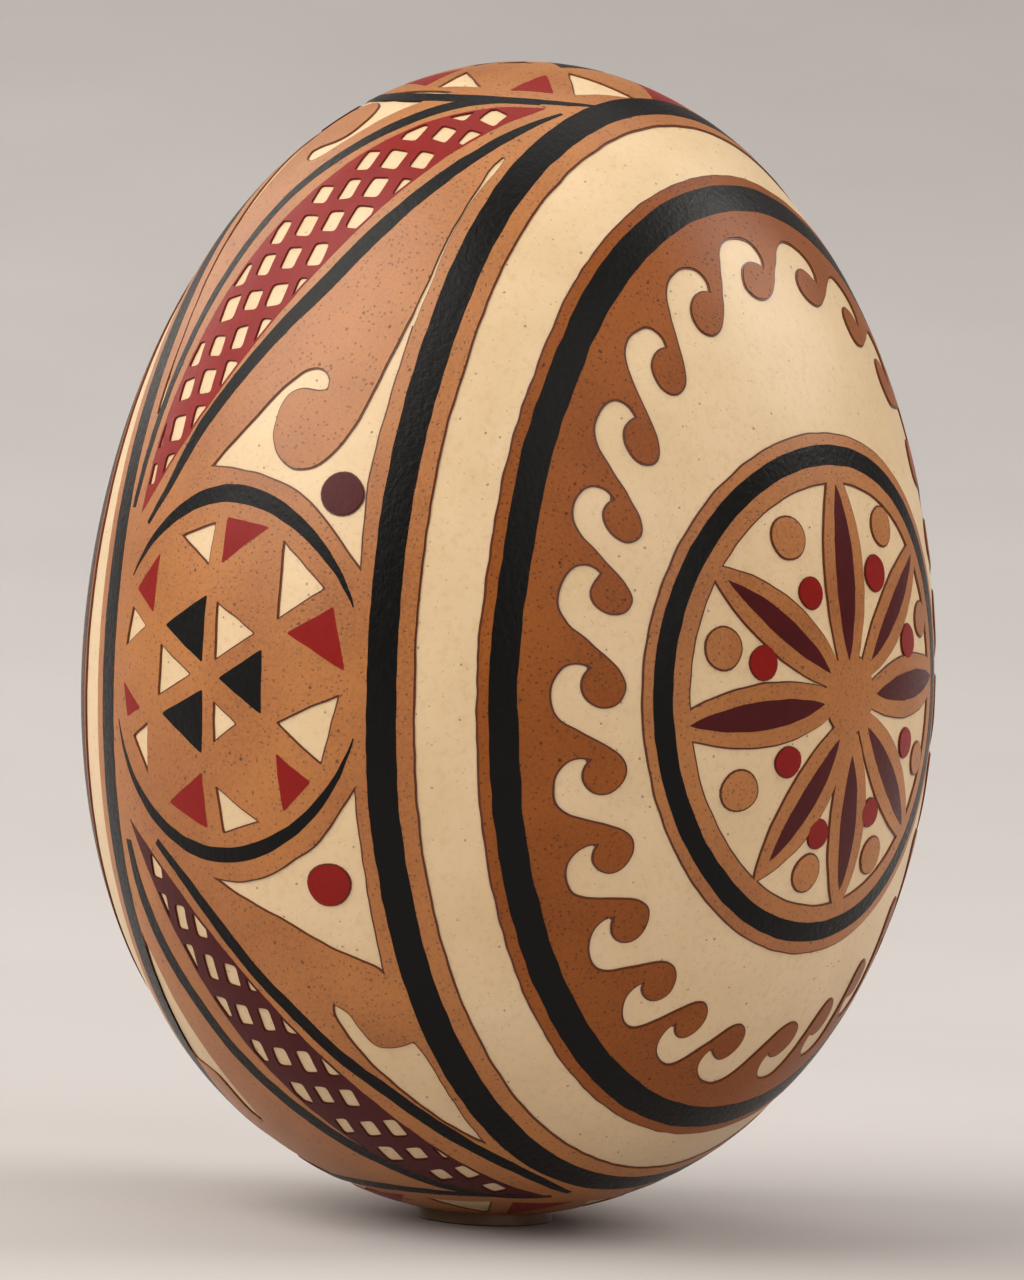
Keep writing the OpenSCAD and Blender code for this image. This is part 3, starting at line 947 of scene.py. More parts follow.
@dataclass
class Shell(Assembly):
    """The blown shell, its membranes, and the wax that seals the blow hole."""

    wall: float = 0.35
    hole_d: float = 2.0
    segments: int = 256
    rings: int = 144
    foot_bevel: float = 0.12
    foot_lid: float = 1.2
    lid_share: float = 0.946
    plug_fit: float = 0.98
    plug_tip: float = 0.85

    # The finger waves in the foot's rim: how deep, how many round it, and where they start
    FINGERS = ((0.012, 3, 0.6), (0.008, 7, 0.0))

    def _solid(self, name: str) -> bpy.types.Object:
        """Shape a ball to the egg's outer surface, in metres."""
        bpy.ops.object.select_all(action="DESELECT")
        bpy.ops.mesh.primitive_uv_sphere_add(
            segments=self.segments, ring_count=self.rings, radius=1
        )
        egg = bpy.context.object
        egg.name = egg.data.name = name
        co = Bench.read(egg)
        t = co[:, 2]
        wide = (self.form.radius * self.form.width_at(t))[:, None]
        co[:, :2] *= wide
        co[:, 2] = t * self.form.half_length + self.form.middle
        Bench.write(egg, co * MM)
        return egg

    def build_shell(self) -> None:
        """Build the hollow shell with its blow hole."""
        egg = self._solid("eggshell")
        Bench.pick(egg)
        wall = egg.modifiers.new("wall", "SOLIDIFY")
        wall.thickness = self.wall * MM
        wall.offset = -1
        bpy.ops.object.modifier_apply(modifier=wall.name)
        low = (self.form.middle - self.form.half_length) * MM
        bpy.ops.mesh.primitive_cylinder_add(
            vertices=48, radius=self.hole_d / 2 * MM, depth=4 * MM, location=(0, 0, low)
        )
        drill = bpy.context.object
        Bench.cut(egg, drill, Cut.DROP)
        Bench.discard(drill)
        self.settle(egg, self.palette.cream, Slot.SHELL, ["shell"])

    def build_foot(self) -> None:
        """Press the wax foot: a low cake under the egg with a plug up the hole."""
        low, high = (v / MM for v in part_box("wax_seal"))
        radius = (high.x - low.x) / 2
        bpy.ops.object.select_all(action="DESELECT")
        bpy.ops.mesh.primitive_circle_add(
            vertices=72, radius=radius - self.foot_bevel, fill_type="NGON"
        )
        foot = bpy.context.object
        foot.name = foot.data.name = "wax_foot"
        plug = self.hole_d / 2 * self.plug_fit
        steps = ((0.08, radius / (radius - self.foot_bevel)), (0.5, 0.985), (0.5, 0.96))
        cake = sum(height for height, _ in steps)
        with editing("SELECT"):
            for height, share in steps:
                lift(height)
                bpy.ops.transform.resize(value=(share, share, 1))
            bpy.ops.mesh.inset(thickness=self.foot_lid)
            lid = radius * self.lid_share - self.foot_lid - plug
            bpy.ops.mesh.inset(thickness=max(0.1, lid))
            lift(high.z - low.z - cake - self.foot_bevel)
            lift(self.foot_bevel)
            bpy.ops.transform.resize(value=(self.plug_tip, self.plug_tip, 1))
            close_skin()
        self._press(foot, radius, plug)
        # The foot's wax finish is darkened as painted shade under the egg.
        self.settle(foot, self.palette.wax, Slot.WAX, ["wax_seal"])

    def _press(self, foot: bpy.types.Object, radius: float, plug: float) -> None:
        """Press the cake's top against the shell, and leave finger waves in its rim."""
        co = Bench.read(foot)
        out = np.hypot(co[:, 0], co[:, 1])
        rim = out > plug + 0.05
        turn = np.arctan2(co[:, 1], co[:, 0])
        wave = 1 - sum(
            depth * (1 + np.sin(count * turn + phase)) for depth, count, phase in self.FINGERS
        )
        co[rim, :2] *= wave[rim, None]
        out = np.hypot(co[:, 0], co[:, 1])
        z = np.linspace(0, 0.35, 400)
        height = self.form.middle - self.form.half_length * (1 - z)
        radii = np.sqrt(np.maximum(self.form.radius_sq(-self.form.half_length * (1 - z)), 0))
        under = np.interp(out, radii, height)
        lid = rim & (co[:, 2] > 0.3)
        co[lid, 2] = np.minimum(co[lid, 2], under[lid] + 0.01)
        co[:, 2] = np.maximum(co[:, 2], 0)
        Bench.write(foot, co * MM)

    def dress_membranes(self) -> None:
        """Dress the two membranes, which keep their own shape."""
        for name in ("outer_membrane", "inner_membrane"):
            self.palette.dress(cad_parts[name], self.palette.skin)
            LOG.info("%s dressed", name)

    def build(self) -> None:
        """Build and dress everything of the shell."""
        self.build_shell()
        self.build_foot()
        self.dress_membranes()


# ---------------------------------------------------------------- roundels


@dataclass
class Roundel:
    """One roundel: two crescents, a star of six triangles and twelve teeth round it."""

    centre: Point
    turn: float = 0.0
    size: float = 1.0

    BLACK = (
        ((-3.84, 1.84), (-1.0, 3.4), (-1.0, 0.1)),
        ((0.1, -0.6), (2.7, 0.9), (2.8, -2.2)),
        ((-0.9, -1.16), (-3.84, -2.5), (-0.9, -4.26)),
    )
    RED = (
        ((-0.4, 7.16), (2.36, 6.8), (-0.3, 4.9)),
        ((6.3, 3.3), (4.0, 1.8), (7.06, 0.14)),
        ((3.66, -4.0), (5.54, -5.36), (3.96, -6.84)),
        ((-0.94, -5.1), (-3.4, -6.8), (-0.76, -7.86)),
        ((-7.34, -1.2), (-5.7, -2.4), (-6.9, -2.96)),
        ((-4.96, 5.44), (-6.6, 3.64), (-4.94, 2.44)),
    )
    CREAM = (
        ((-0.34, 3.16), (2.3, 1.66), (-0.2, 0.2)),
        ((-0.2, -1.66), (1.44, -2.7), (-0.16, -3.7)),
        ((-4.14, 0.96), (-1.7, -0.5), (-4.2, -1.7)),
        ((-3.5, 6.24), (-1.1, 6.9), (-1.14, 4.76)),
        ((3.26, 6.3), (5.84, 4.16), (3.4, 2.34)),
        ((3.64, -2.56), (6.94, -1.0), (6.1, -4.56)),
        ((-0.1, -5.7), (2.6, -7.36), (0.24, -8.06)),
        ((-5.0, -3.0), (-6.36, -3.86), (-5.04, -5.66)),
        ((-6.9, 2.8), (-5.44, 1.76), (-7.34, 0.64)),
    )
    MIDDLE = (-0.2, -0.35)

    def _placed(self, outline: Outline) -> Outline:
        """Turn, size and place an outline that was drawn for the front roundel."""
        a = math.radians(self.turn)
        turned = np.array(((math.cos(a), math.sin(a)), (-math.sin(a), math.cos(a)))) * self.size
        return outline.moved(
            lambda p: (p - np.array(self.MIDDLE)) @ turned + np.array(self.centre)
        )

    def triangles(self, corners: Sequence[Sequence[Point]]) -> list[Outline]:
        """Draw one dye's triangles in place."""
        return [self._placed(Outline.polygon(c, rounding=0.14)) for c in corners]

    def crescents(self) -> list[Outline]:
        """Draw the crescent over the roundel and the one under it."""
        return [
            self._placed(self._crescent((-0.2, 0.8), 7.92, (-0.3, -0.7), 8.55, 1)),
            self._placed(self._crescent((-0.1, -1.6), 7.9, (-0.1, -0.64), 8.1, -1)),
        ]

    @staticmethod
    def _crescent(outer: Point, outer_r: float, inner: Point, inner_r: float, up: int) -> Outline:
        """Draw what lies inside one circle and outside another.

        Args:
            outer: The outer arc's centre.
            outer_r: Its radius.
            inner: The inner arc's centre.
            inner_r: Its radius.
            up: 1 for a crescent over the roundel, -1 for one under it.

        Returns:
            The outline.
        """
        a = np.radians(np.linspace(-8, 188, 80))
        far = np.stack([outer[0] + outer_r * np.cos(a), outer[1] + up * outer_r * np.sin(a)], 1)
        gap = np.linalg.norm(far - np.array(inner), axis=1) - inner_r
        far = far[gap > 0.02]
        way = far - np.array(inner)
        near = np.array(inner) + way / np.linalg.norm(way, axis=1)[:, None] * inner_r
        return Outline.of(np.concatenate([far, near[::-1]]))

    def disc(self, radius: float) -> Outline:
        """Draw the round ground that the triangles stand on."""
        return self._placed(Outline.ellipse(self.MIDDLE, radius))


# ---------------------------------------------------------------- lenses and spandrels


@dataclass
class Net:
    """A leaf of dye with rows of openings in it."""

    start: Point
    end: Point
    left: float
    right: float
    first: Point
    pitch: Point
    slant: float
    lean: float
    opening: Point
    seed: int

    # The bare margin, how far an opening strays up and along, and how its size varies
    MARGIN = 0.13
    STRAY_UP = 0.07
    STRAY = 0.06
    WIDTHS = (0.86, 1.1)
    HEIGHTS = (0.84, 1.08)
    COLUMNS = range(-8, 9)
    ROWS = range(-12, 13)

    def leaf(self) -> Outline:
        """Draw the leaf."""
        return Outline.leaf(self.start, self.end, self.left, self.right)

    def openings(self) -> list[Outline]:
        """Draw the openings, each a little different, cut off at the leaf's edge."""
        hand = random.Random(self.seed)
        window = self.leaf().shrunk(self.MARGIN)
        made = []
        for column in self.COLUMNS:
            for row in self.ROWS:
                rise = row * self.pitch[1] + hand.uniform(-self.STRAY_UP, self.STRAY_UP)
                a = self.first[0] + column * self.pitch[0] + rise * self.lean
                a += hand.uniform(-self.STRAY, self.STRAY)
                b = self.first[1] + rise + column * self.slant
                half_a = self.opening[0] / 2 * hand.uniform(*self.WIDTHS)
                half_b = self.opening[1] / 2 * hand.uniform(*self.HEIGHTS)
                lean = hand.uniform(-self.STRAY, self.STRAY)
                box = (
                    (a - half_a, b - half_b - lean),
                    (a + half_a, b - half_b + lean),
                    (a + half_a, b + half_b + lean),
                    (a - half_a, b + half_b - lean),
                )
                opening = Outline.polygon(box, rounding=0.2).clipped(window)
                if opening is not None:
                    made.append(opening)
        return made


@dataclass
class Belt(Assembly):
    """The belt right round the egg, with its roundels, lenses and spandrels."""

    line_middle: float = 8.75
    left_middle: float = -9.2
    tilt: float = 0.0185
    line_w: float = 1.34
    edging_w: float = 0.72

    LENS_TURN = (-0.5, 21.2)
    LOWER_TURN = (0.05, -21.4)
    UPPER_CREAM = (
        (-2.25, 9.55, 1), (-1.0, 10.9), (0.0, 12.0), (1.0, 13.3), (1.8, 14.15), (2.4, 14.65),
        (3.0, 14.88), (3.5, 14.78), (3.86, 14.4), (3.95, 13.8, 1), (3.5, 13.68), (2.5, 13.65),
        (1.9, 13.35), (1.55, 12.8), (1.45, 12.1), (1.5, 11.3), (1.75, 10.7), (2.2, 10.2),
        (2.8, 9.85), (3.35, 9.76), (4.0, 9.92), (4.6, 10.35), (5.2, 11.1), (5.7, 12.2),
        (6.15, 14.0), (6.45, 16.0), (6.75, 18.4), (6.98, 20.5, 1), (7.08, 18.0), (7.12, 14.0),
        (7.13, 10.0), (7.25, 8.0), (7.4, 5.2, 1), (6.2, 6.5), (5.0, 7.7), (3.4, 8.7),
        (1.8, 9.15), (0.0, 9.4),
    )
    SLIVER = ((6.95, 18.2, 0.3), (6.99, 21.0, 0.22), (6.9, 24.5, 0.14), (6.95, 27.0, 0.2),
              (6.92, 28.6, 0.34), (6.93, 29.3, 0.2))
    LOWER_CREAM = (
        (-0.8, -10.3, 1), (1.0, -10.4), (2.75, -10.0), (4.5, -9.1), (5.75, -8.25),
        (7.7, -5.6, 1), (7.78, -10.0), (7.75, -15.75, 1), (7.4, -15.25), (6.25, -14.4),
        (4.75, -13.4), (3.0, -12.25), (1.0, -11.25),
    )
    WING = (
        (4.75, -16.75, 1), (5.4, -17.4), (5.75, -18.5), (6.1, -19.4), (6.75, -19.75),
        (8.0, -19.75, 1), (8.25, -21.0), (8.3, -24.25), (8.25, -26.75), (8.2, -27.9, 1),
        (7.5, -26.25), (6.75, -24.0), (6.0, -22.0), (5.25, -20.0), (4.8, -18.5), (4.6, -17.25),
    )
    UPPER_DOT = (5.94, 8.86)
    LOWER_DOT = (5.9, -10.6)
    DOT_R = 1.05
    DISC_R = 7.95
    NET_GAP = 0.035
    FAR_IN = -30
    DOT_RIM = 0.07
    # The seam's ends are welded twice, closely and then more widely, in millimetres
    WELDS = (0.002, 0.03)

    def __post_init__(self) -> None:
        """Lay out the belt's loop and its motifs."""
        self.start = float(self.form.loop_run[0])
        self.end = float(self.form.loop_run[-1])
        self.top = float(np.interp(math.pi / 2, self.form.loop_angle, self.form.loop_run))
        self.upper = Net((-7.3, 7.6), (6.3, 33.9), 3.5, 1.65, (-1.15, 20.6), (1.56, 1.98), 0.27,
                         -0.035, (1.02, 1.32), 3)
        self.lower = Net((-7.1, -8.3), (7.2, -35.2), 3.6, 0.35, (-0.9, -17.55), (1.4, -2.2),
                         -0.2, 0.0, (0.84, 1.34), 5)
        self.roundels = {
            "front": Roundel(Roundel.MIDDLE),
            "top": Roundel((0.3, 41.2), -6.0, 1.03),
            "bottom": Roundel((-0.2, -39.2), 12.0, 1.03),
        }

    def _around(self, outlines: Iterable[Outline], turned: bool = True) -> list[Outline]:
        """Repeat outlines on the egg's back, and over the loop's seam where they cross it.

        Args:
            outlines: The outlines.
            turned: Whether they are drawn for the front and repeat on the back.

        Returns:
            All of them.
        """
        made = list(outlines)
        if turned:
            made += [
                o.moved(lambda p: np.stack([-p[:, 0], 2 * self.top - p[:, 1]], 1)) for o in made
            ]
        loop = self.end - self.start
        placed = []
        for o in made:
            for shift in (-loop, 0.0, loop):
                low, high = o.points[:, 1].min() + shift, o.points[:, 1].max() + shift
                if high > self.start and low < self.end:
                    placed.append(o.moved(lambda p, s=shift: p + np.array((0.0, s))))
        return placed

    def _lens(self, outlines: Iterable[Outline], about: Point) -> list[Outline]:
        """Repeat outlines half a turn round a lens's middle."""
        first = list(outlines)
        return first + [o.moved(lambda p: 2 * np.array(about) - p) for o in first]

    def _everywhere(self, draw: Callable[[Roundel], list[Outline]]) -> list[Outline]:
        """Draw something on all four roundels."""
        return [
            o for name, roundel in self.roundels.items()
            for o in self._around(draw(roundel), turned=name == "front")
        ]

    def _all_triangles(self, corners: Sequence[Sequence[Point]]) -> list[Outline]:
        """Draw one dye's triangles on all four roundels."""
        return self._everywhere(lambda roundel: roundel.triangles(corners))

    def _all_crescents(self) -> list[Outline]:
        """Draw the crescents of all four roundels."""
        return self._everywhere(Roundel.crescents)

    def _lens_lines(self) -> list[Outline]:
        """Draw the black strokes beside each lens."""
        upper_left = [(-8.2, 8.0, 0.35), (-7.85, 11.0, 0.5), (-7.25, 15.0, 0.55),
                      (-6.0, 20.0, 0.65), (-3.75, 25.0, 0.72), (-1.2, 28.0, 0.78),
                      (0.7, 30.0, 0.85), (2.6, 31.9, 0.75), (5.9, 34.0, 0.15)]
        upper_right = [(-6.5, 7.0, 0.25), (-5.0, 9.0, 0.5), (-3.9, 11.0, 0.7), (-1.8, 14.0, 0.8),
                       (0.3, 17.0, 0.88), (1.6, 19.0, 0.95), (3.1, 22.0, 0.92),
                       (4.4, 25.0, 0.8), (5.5, 28.0, 0.68), (6.6, 32.0, 0.4), (7.1, 34.2, 0.15)]
        lower_right = [(-4.75, -9.0, 0.4), (-2.75, -10.75, 0.6), (-0.75, -13.0, 0.7),
                       (1.0, -15.25, 0.72), (2.5, -17.25, 0.72), (4.0, -19.75, 0.72),
                       (5.5, -22.25, 0.72), (6.75, -25.25, 0.7), (7.6, -28.0, 0.66),
                       (8.1, -30.25, 0.6), (8.25, -33.0, 0.5), (8.0, -35.5, 0.3)]
        lower_left = [(-7.5, -9.5, 0.5), (-6.9, -12.5, 0.8), (-5.75, -15.25, 0.9),
                      (-4.25, -17.75, 0.9), (-2.75, -20.25, 0.9), (-0.75, -23.0, 0.9),
                      (1.0, -25.5, 0.88), (2.75, -28.0, 0.84), (4.5, -31.0, 0.75),
                      (6.25, -33.5, 0.55), (7.25, -35.0, 0.3)]
        marks = (upper_left, upper_right, lower_right, lower_left)
        return self._around([Outline.stroke(m) for m in marks])

    def _creams(self, gap: float) -> list[list[Outline]]:
        """Draw the bare spandrels and triangles, drawn in by a gap."""
        upper = Outline.through(self.UPPER_CREAM)
        lower = [Outline.through(self.LOWER_CREAM), Outline.through(self.WING)]
        sliver = Outline.stroke([(x, run, width - gap * 0.9) for x, run, width in self.SLIVER])
        if gap:
            upper, lower = upper.shrunk(gap), [o.shrunk(gap) for o in lower]
        spandrels = self._around(
            self._lens([upper], self.LENS_TURN) + self._lens(lower, self.LOWER_TURN)
        )
        slivers = self._around(self._lens([sliver], self.LENS_TURN))
        triangles = self._all_triangles(Roundel.CREAM)
        return [
            spandrels, slivers, [o.shrunk(gap) for o in triangles] if gap else triangles
        ]

    def _dots(self, centre: Point, about: Point, extra: float = 0.0) -> list[Outline]:
        """Draw the dots in the spandrels of one kind."""
        return self._around(self._lens([Outline.ellipse(centre, self.DOT_R + extra)], about))

    def _band(self, low: float, high: float, left: bool = False) -> list[Outline]:
        """Draw a band right round the loop.

        Args:
            low: Its inner edge, from the black line's middle outwards.
            high: Its outer edge.
            left: Whether it is the left line's.

        Returns:
            The outline, alone in a list.
        """
        run = np.linspace(self.start - 1, self.end + 1, 380)
        wrapped = self.start + (run - self.start) % (self.end - self.start)
        z = self.form.on_belt(np.stack([np.zeros_like(wrapped), wrapped], 1))[:, 2]
        middle = (self.left_middle if left else self.line_middle) - self.tilt * z * 1.25
        out = -1 if left else 1
        return [
            Outline.of(
                np.concatenate([
                    np.stack([middle + out * low, run], 1),
                    np.stack([middle + out * high, run], 1)[::-1],
                ])
            )
        ]

    def _ground_band(self) -> list[Outline]:
        """Draw the ground between the two black lines."""
        right = self._band(-self.line_w / 2, -self.line_w / 2 - 0.1)[0].points
        left = self._band(-self.line_w / 2, -self.line_w / 2 - 0.1, left=True)[0].points
        half = len(right) // 2

        def edge(p: np.ndarray, outermost: int) -> np.ndarray:
            """Take the outer edge of a thin band, in order of run."""
            one, two = p[:half], p[half:]
            pick = one if one[:, 0].mean() * outermost > two[:, 0].mean() * outermost else two
            return pick[np.argsort(pick[:, 1])]

        return [Outline.of(np.concatenate([edge(right, 1), edge(left, -1)[::-1]]))]

    def _lay(self, piece: bpy.types.Object, layer: Layer, name: str, loop: bool = False) -> None:
        """Lay a belt piece on the egg, and close the loop at its seam."""
        if loop:
            self._open_ends(piece)
        self.form.lay(piece, self.form.on_belt, layer, name)
        if loop:
            Bench.pick(piece)
            with editing("DESELECT"):
                bpy.ops.mesh.select_mode(type="VERT")
                for weld in self.WELDS:
                    bpy.ops.mesh.select_all(action="DESELECT")
                    bpy.ops.mesh.select_non_manifold(extend=False)
                    bpy.ops.mesh.remove_doubles(threshold=weld * MM)
                bpy.ops.mesh.select_all(action="SELECT")
                bpy.ops.mesh.delete_loose(use_verts=True, use_edges=True, use_faces=False)

    def _open_ends(self, piece: bpy.types.Object) -> None:
        """Take away the walls at the loop's two ends, which will meet."""
        Bench.pick(piece)
        run = Bench.read(piece)[:, 1]
        at_end = (np.abs(run - self.start) < 1e-3) | (np.abs(run - self.end) < 1e-3)
        with editing("DESELECT"):
            pass
        for face in piece.data.polygons:
            face.select = bool(at_end[list(face.vertices)].all())
        with editing():
            bpy.ops.mesh.delete(type="FACE")

    def build(self) -> None:
        """Build and dress everything of the belt."""
        sheet = Bench.sheet((-11.6, self.start), (11.6, self.end), CELL)
        ground = Bench.carve(sheet, keep=[self._ground_band()])
        self._build_edges(sheet)
        self._build_lines(sheet)
        self._build_dyed(ground, sheet)
        self._build_ground(ground)
        Bench.discard(sheet, ground)

    def _build_edges(self, sheet: bpy.types.Object) -> None:
        """Build the dark edge that shows round every bare place."""
        out = self.line_w / 2 + self.edging_w + EDGE_GAP
        right = self._band(self.FAR_IN, out)[0]
        left = self._band(self.FAR_IN, out, left=True)[0]
        nets = [
            o.shrunk(self.NET_GAP)
            for net in (self.upper, self.lower) for o in self._around(net.openings())
        ]
        edge = Bench.carve(
            sheet, keep=[[right], [left]], drop=[*self._creams(EDGE_GAP), nets]
        )
        self._lay(edge, Layer.EDGE, "belt_dark_edge", loop=True)
        rims = Bench.carve(
            sheet,
            keep=[
                self._dots(self.UPPER_DOT, self.LENS_TURN, self.DOT_RIM)
                + self._dots(self.LOWER_DOT, self.LOWER_TURN, self.DOT_RIM)
            ],
        )
        self._lay(rims, Layer.EDGE, "belt_dot_rims")
        self.settle(Bench.joined(edge, rims), self.palette.edge, Slot.BROWN)

    def _build_lines(self, sheet: bpy.types.Object) -> None:
        """Build the two black lines and the brown edging outside each."""
        half = self.line_w / 2
        for side, left in (("right", False), ("left", True)):
            line = Bench.carve(sheet, keep=[self._band(-half, half, left)])
            self._lay(line, Layer.DYED, f"belt_line_{side}_visual", loop=True)
            self.settle(line, self.palette.black, Slot.BLACK, [f"belt_line_{side}"])
            edging = Bench.carve(sheet, keep=[self._band(half, half + self.edging_w, left)])
            self._lay(edging, Layer.SKIN, f"belt_edging_{side}_visual", loop=True)
            self.settle(edging, self.palette.brown, Slot.BROWN, [f"belt_edging_{side}"])

    def _build_dyed(self, ground: bpy.types.Object, sheet: bpy.types.Object) -> None:
        """Build the dyed shapes: crescents, triangles, lens lines, nets and dots."""
        p = self.palette
        plain = (
            ("roundel_crescents", self._all_crescents(), p.black, Slot.BLACK),
            ("roundel_black_triangles", self._all_triangles(Roundel.BLACK), p.black, Slot.BLACK),
            ("roundel_red_triangles", self._all_triangles(Roundel.RED), p.red, Slot.RED),
            ("lens_lines", self._lens_lines(), p.black, Slot.BLACK),
            ("upper_spandrel_dots", self._dots(self.UPPER_DOT, self.LENS_TURN), p.maroon,
             Slot.MAROON),
            ("lower_spandrel_dots", self._dots(self.LOWER_DOT, self.LOWER_TURN), p.red, Slot.RED),
        )
        for node, outlines, finish, slot in plain:
            piece = Bench.carve(ground, keep=[outlines])
            self._lay(piece, Layer.DYED, f"{node}_visual", loop=True)
            self.settle(piece, finish, slot, [node])
        for node, net, finish, slot in (
            ("upper_lens_nets", self.upper, p.red, Slot.RED),
            ("lower_lens_nets", self.lower, p.maroon, Slot.MAROON),
        ):
            piece = Bench.carve(
                ground, keep=[self._around([net.leaf()])], drop=[self._around(net.openings())]
            )
            self._lay(piece, Layer.DYED, f"{node}_visual", loop=True)
            self.settle(piece, finish, slot, [node])

    def _build_ground(self, ground: bpy.types.Object) -> None:
        """Build the brown ground: the roundels' discs and the spandrels between them."""
        brown = Bench.carve(
            ground,
            drop=[
                self._all_crescents(),
                self._all_triangles(Roundel.BLACK) + self._all_triangles(Roundel.RED),
                self._lens_lines(),
                self._around([self.upper.leaf(), self.lower.leaf()]),
                *self._creams(0.0),
            ],
        )
        discs = {
            name: self._around([r.disc(self.DISC_R)], turned=False) for name, r in self.roundels.items()
        }
        everywhere = self._around([self.roundels["front"].disc(self.DISC_R)])
        discs["back"] = [o for o in everywhere if abs(float(o.points[:, 1].mean())) > 20]
        for name, outlines in discs.items():
            node = f"{name}_roundel_ground"
            piece = Bench.carve(brown, keep=[outlines])
            self._lay(piece, Layer.SKIN, f"{node}_visual", loop=name == "back")
            self.settle(piece, self.palette.brown, Slot.BROWN, [node])
        rest = Bench.carve(brown, drop=[[o for group in discs.values() for o in group]])
        self._lay(rest, Layer.SKIN, "belt_spandrels_visual", loop=True)
        self.settle(rest, self.palette.brown, Slot.BROWN, ["belt_spandrels"])
        Bench.discard(brown)


# ---------------------------------------------------------------- the sides


@dataclass
class WaveRing(Assembly):
    """The ring of curling waves round a rosette, with its black line and its edging."""

    edging_x: float = 12.8
    line_x: float = 13.2
    band_x: float = 14.25
    tilt: float = 0.018
    centre: Point = (0.05, -0.5)

    OUTER_RIM = 0.07

    # The waves are spaced as listed: how far round each head lies, in degrees from the top
    HEADS = (
        5.7, 18.7, 31.7, 45.4, 60.6, 75.9, 94.5, 111.7, 127.0, 140.1, 152.4, 162.6, 172.9,
        185.8, 196.1, 206.5, 219.0, 232.5, 248.0, 265.0, 283.5, 299.0, 314.5, 329.6, 341.2, 353.2,
    )
    # One wave, from the nib behind a head: how far on, as a share of the step to the next
    # head, and how far in from the black line, in millimetres
    WAVE = (
        (-0.222, 3.42, 1), (-0.268, 3.0), (-0.272, 2.6), (-0.24, 2.15), (-0.165, 1.78),
        (-0.03, 1.5), (0.12, 1.45), (0.25, 1.62), (0.36, 2.05), (0.46, 2.7), (0.57, 3.4),
        (0.70, 4.15), (0.84, 4.75), (0.98, 5.0), (1.13, 4.82), (1.215, 4.3), (1.205, 3.75),
        (1.12, 3.25), (1.0, 3.02), (0.88, 3.12),
    )

    def ring(self, x: float) -> Outline:
        """Draw where a slightly tilted plane across the X axis meets the egg."""
        turn = np.radians(np.linspace(0, 360, 240, endpoint=False))
        return Outline.of(self._on_plane(turn, x))

    def _on_plane(self, turn: np.ndarray, x: float) -> np.ndarray:
        """Find the plane's places on the egg at turns from the top."""
        low, high = np.zeros_like(turn), np.full_like(turn, self.form.half_length)
        for _ in range(36):
            rho = (low + high) / 2
            y = self.centre[0] - rho * np.sin(turn)
            z = self.centre[1] + rho * np.cos(turn)
            inside = y**2 + (x - self.tilt * z) ** 2 < self.form.radius_sq(z)
            low, high = np.where(inside, rho, low), np.where(inside, high, rho)
        return np.stack(
            [self.centre[0] - low * np.sin(turn), self.centre[1] + low * np.cos(turn)], 1
        )

    def waves(self) -> Outline:
        """Draw the waves' whole inner edge."""
        turns, depths, sharp = [], [], []
        heads = [*self.HEADS, self.HEADS[0] + 360]
        for here, after in zip(heads, heads[1:]):
            for mark in self.WAVE:
                turns.append(here + mark[0] * (after - here))
                depths.append(mark[1])
                sharp.append(len(mark) > 2)
        turn, depth = np.radians(turns), np.array(depths)
        place = self._on_plane(turn, self.band_x)
        steps = 60
        for _ in range(steps):
            n = self.form.normal(self.form.on_side(place, Side.RIGHT))
            outward = np.stack([-np.sin(turn), np.cos(turn)], 1)
            radial = (n[:, 1:] * outward).sum(1)
            share = n[:, 0] / np.hypot(n[:, 0], radial)
            place = place - outward * (share * depth / steps)[:, None]
        marks = [(*p, 1) if s else tuple(p) for p, s in zip(place.tolist(), sharp)]
        return Outline.through(marks, step=0.16)

    def build(self, sheet: bpy.types.Object, side: Side) -> None:
        """Build and dress one side's ring."""
        name = side.name.lower()
        waves = self.waves()
        outer, line, band = (self.ring(x) for x in (self.edging_x, self.line_x, self.band_x))
        jobs = (
            ("wave_edging", outer, line, Layer.SKIN, self.palette.deep, Slot.BROWN),
            ("wave_line", line, band, Layer.DYED, self.palette.black, Slot.BLACK),
            ("wave_band", band, waves, Layer.SKIN, self.palette.deep, Slot.BROWN),
            ("wave_dark_edge", outer.shrunk(-self.OUTER_RIM), waves.shrunk(EDGE_GAP), Layer.EDGE,
             self.palette.edge, Slot.BROWN),
        )
        for kind, out, hole, layer, finish, slot in jobs:
            piece = Bench.carve(sheet, keep=[[out]], drop=[[hole]])
            node = f"{kind}_{name}"
            self.form.lay(piece, lambda p: self.form.on_side(p, side), layer, f"{node}_visual")
            self.settle(piece, finish, slot, [] if "dark" in kind else [node])


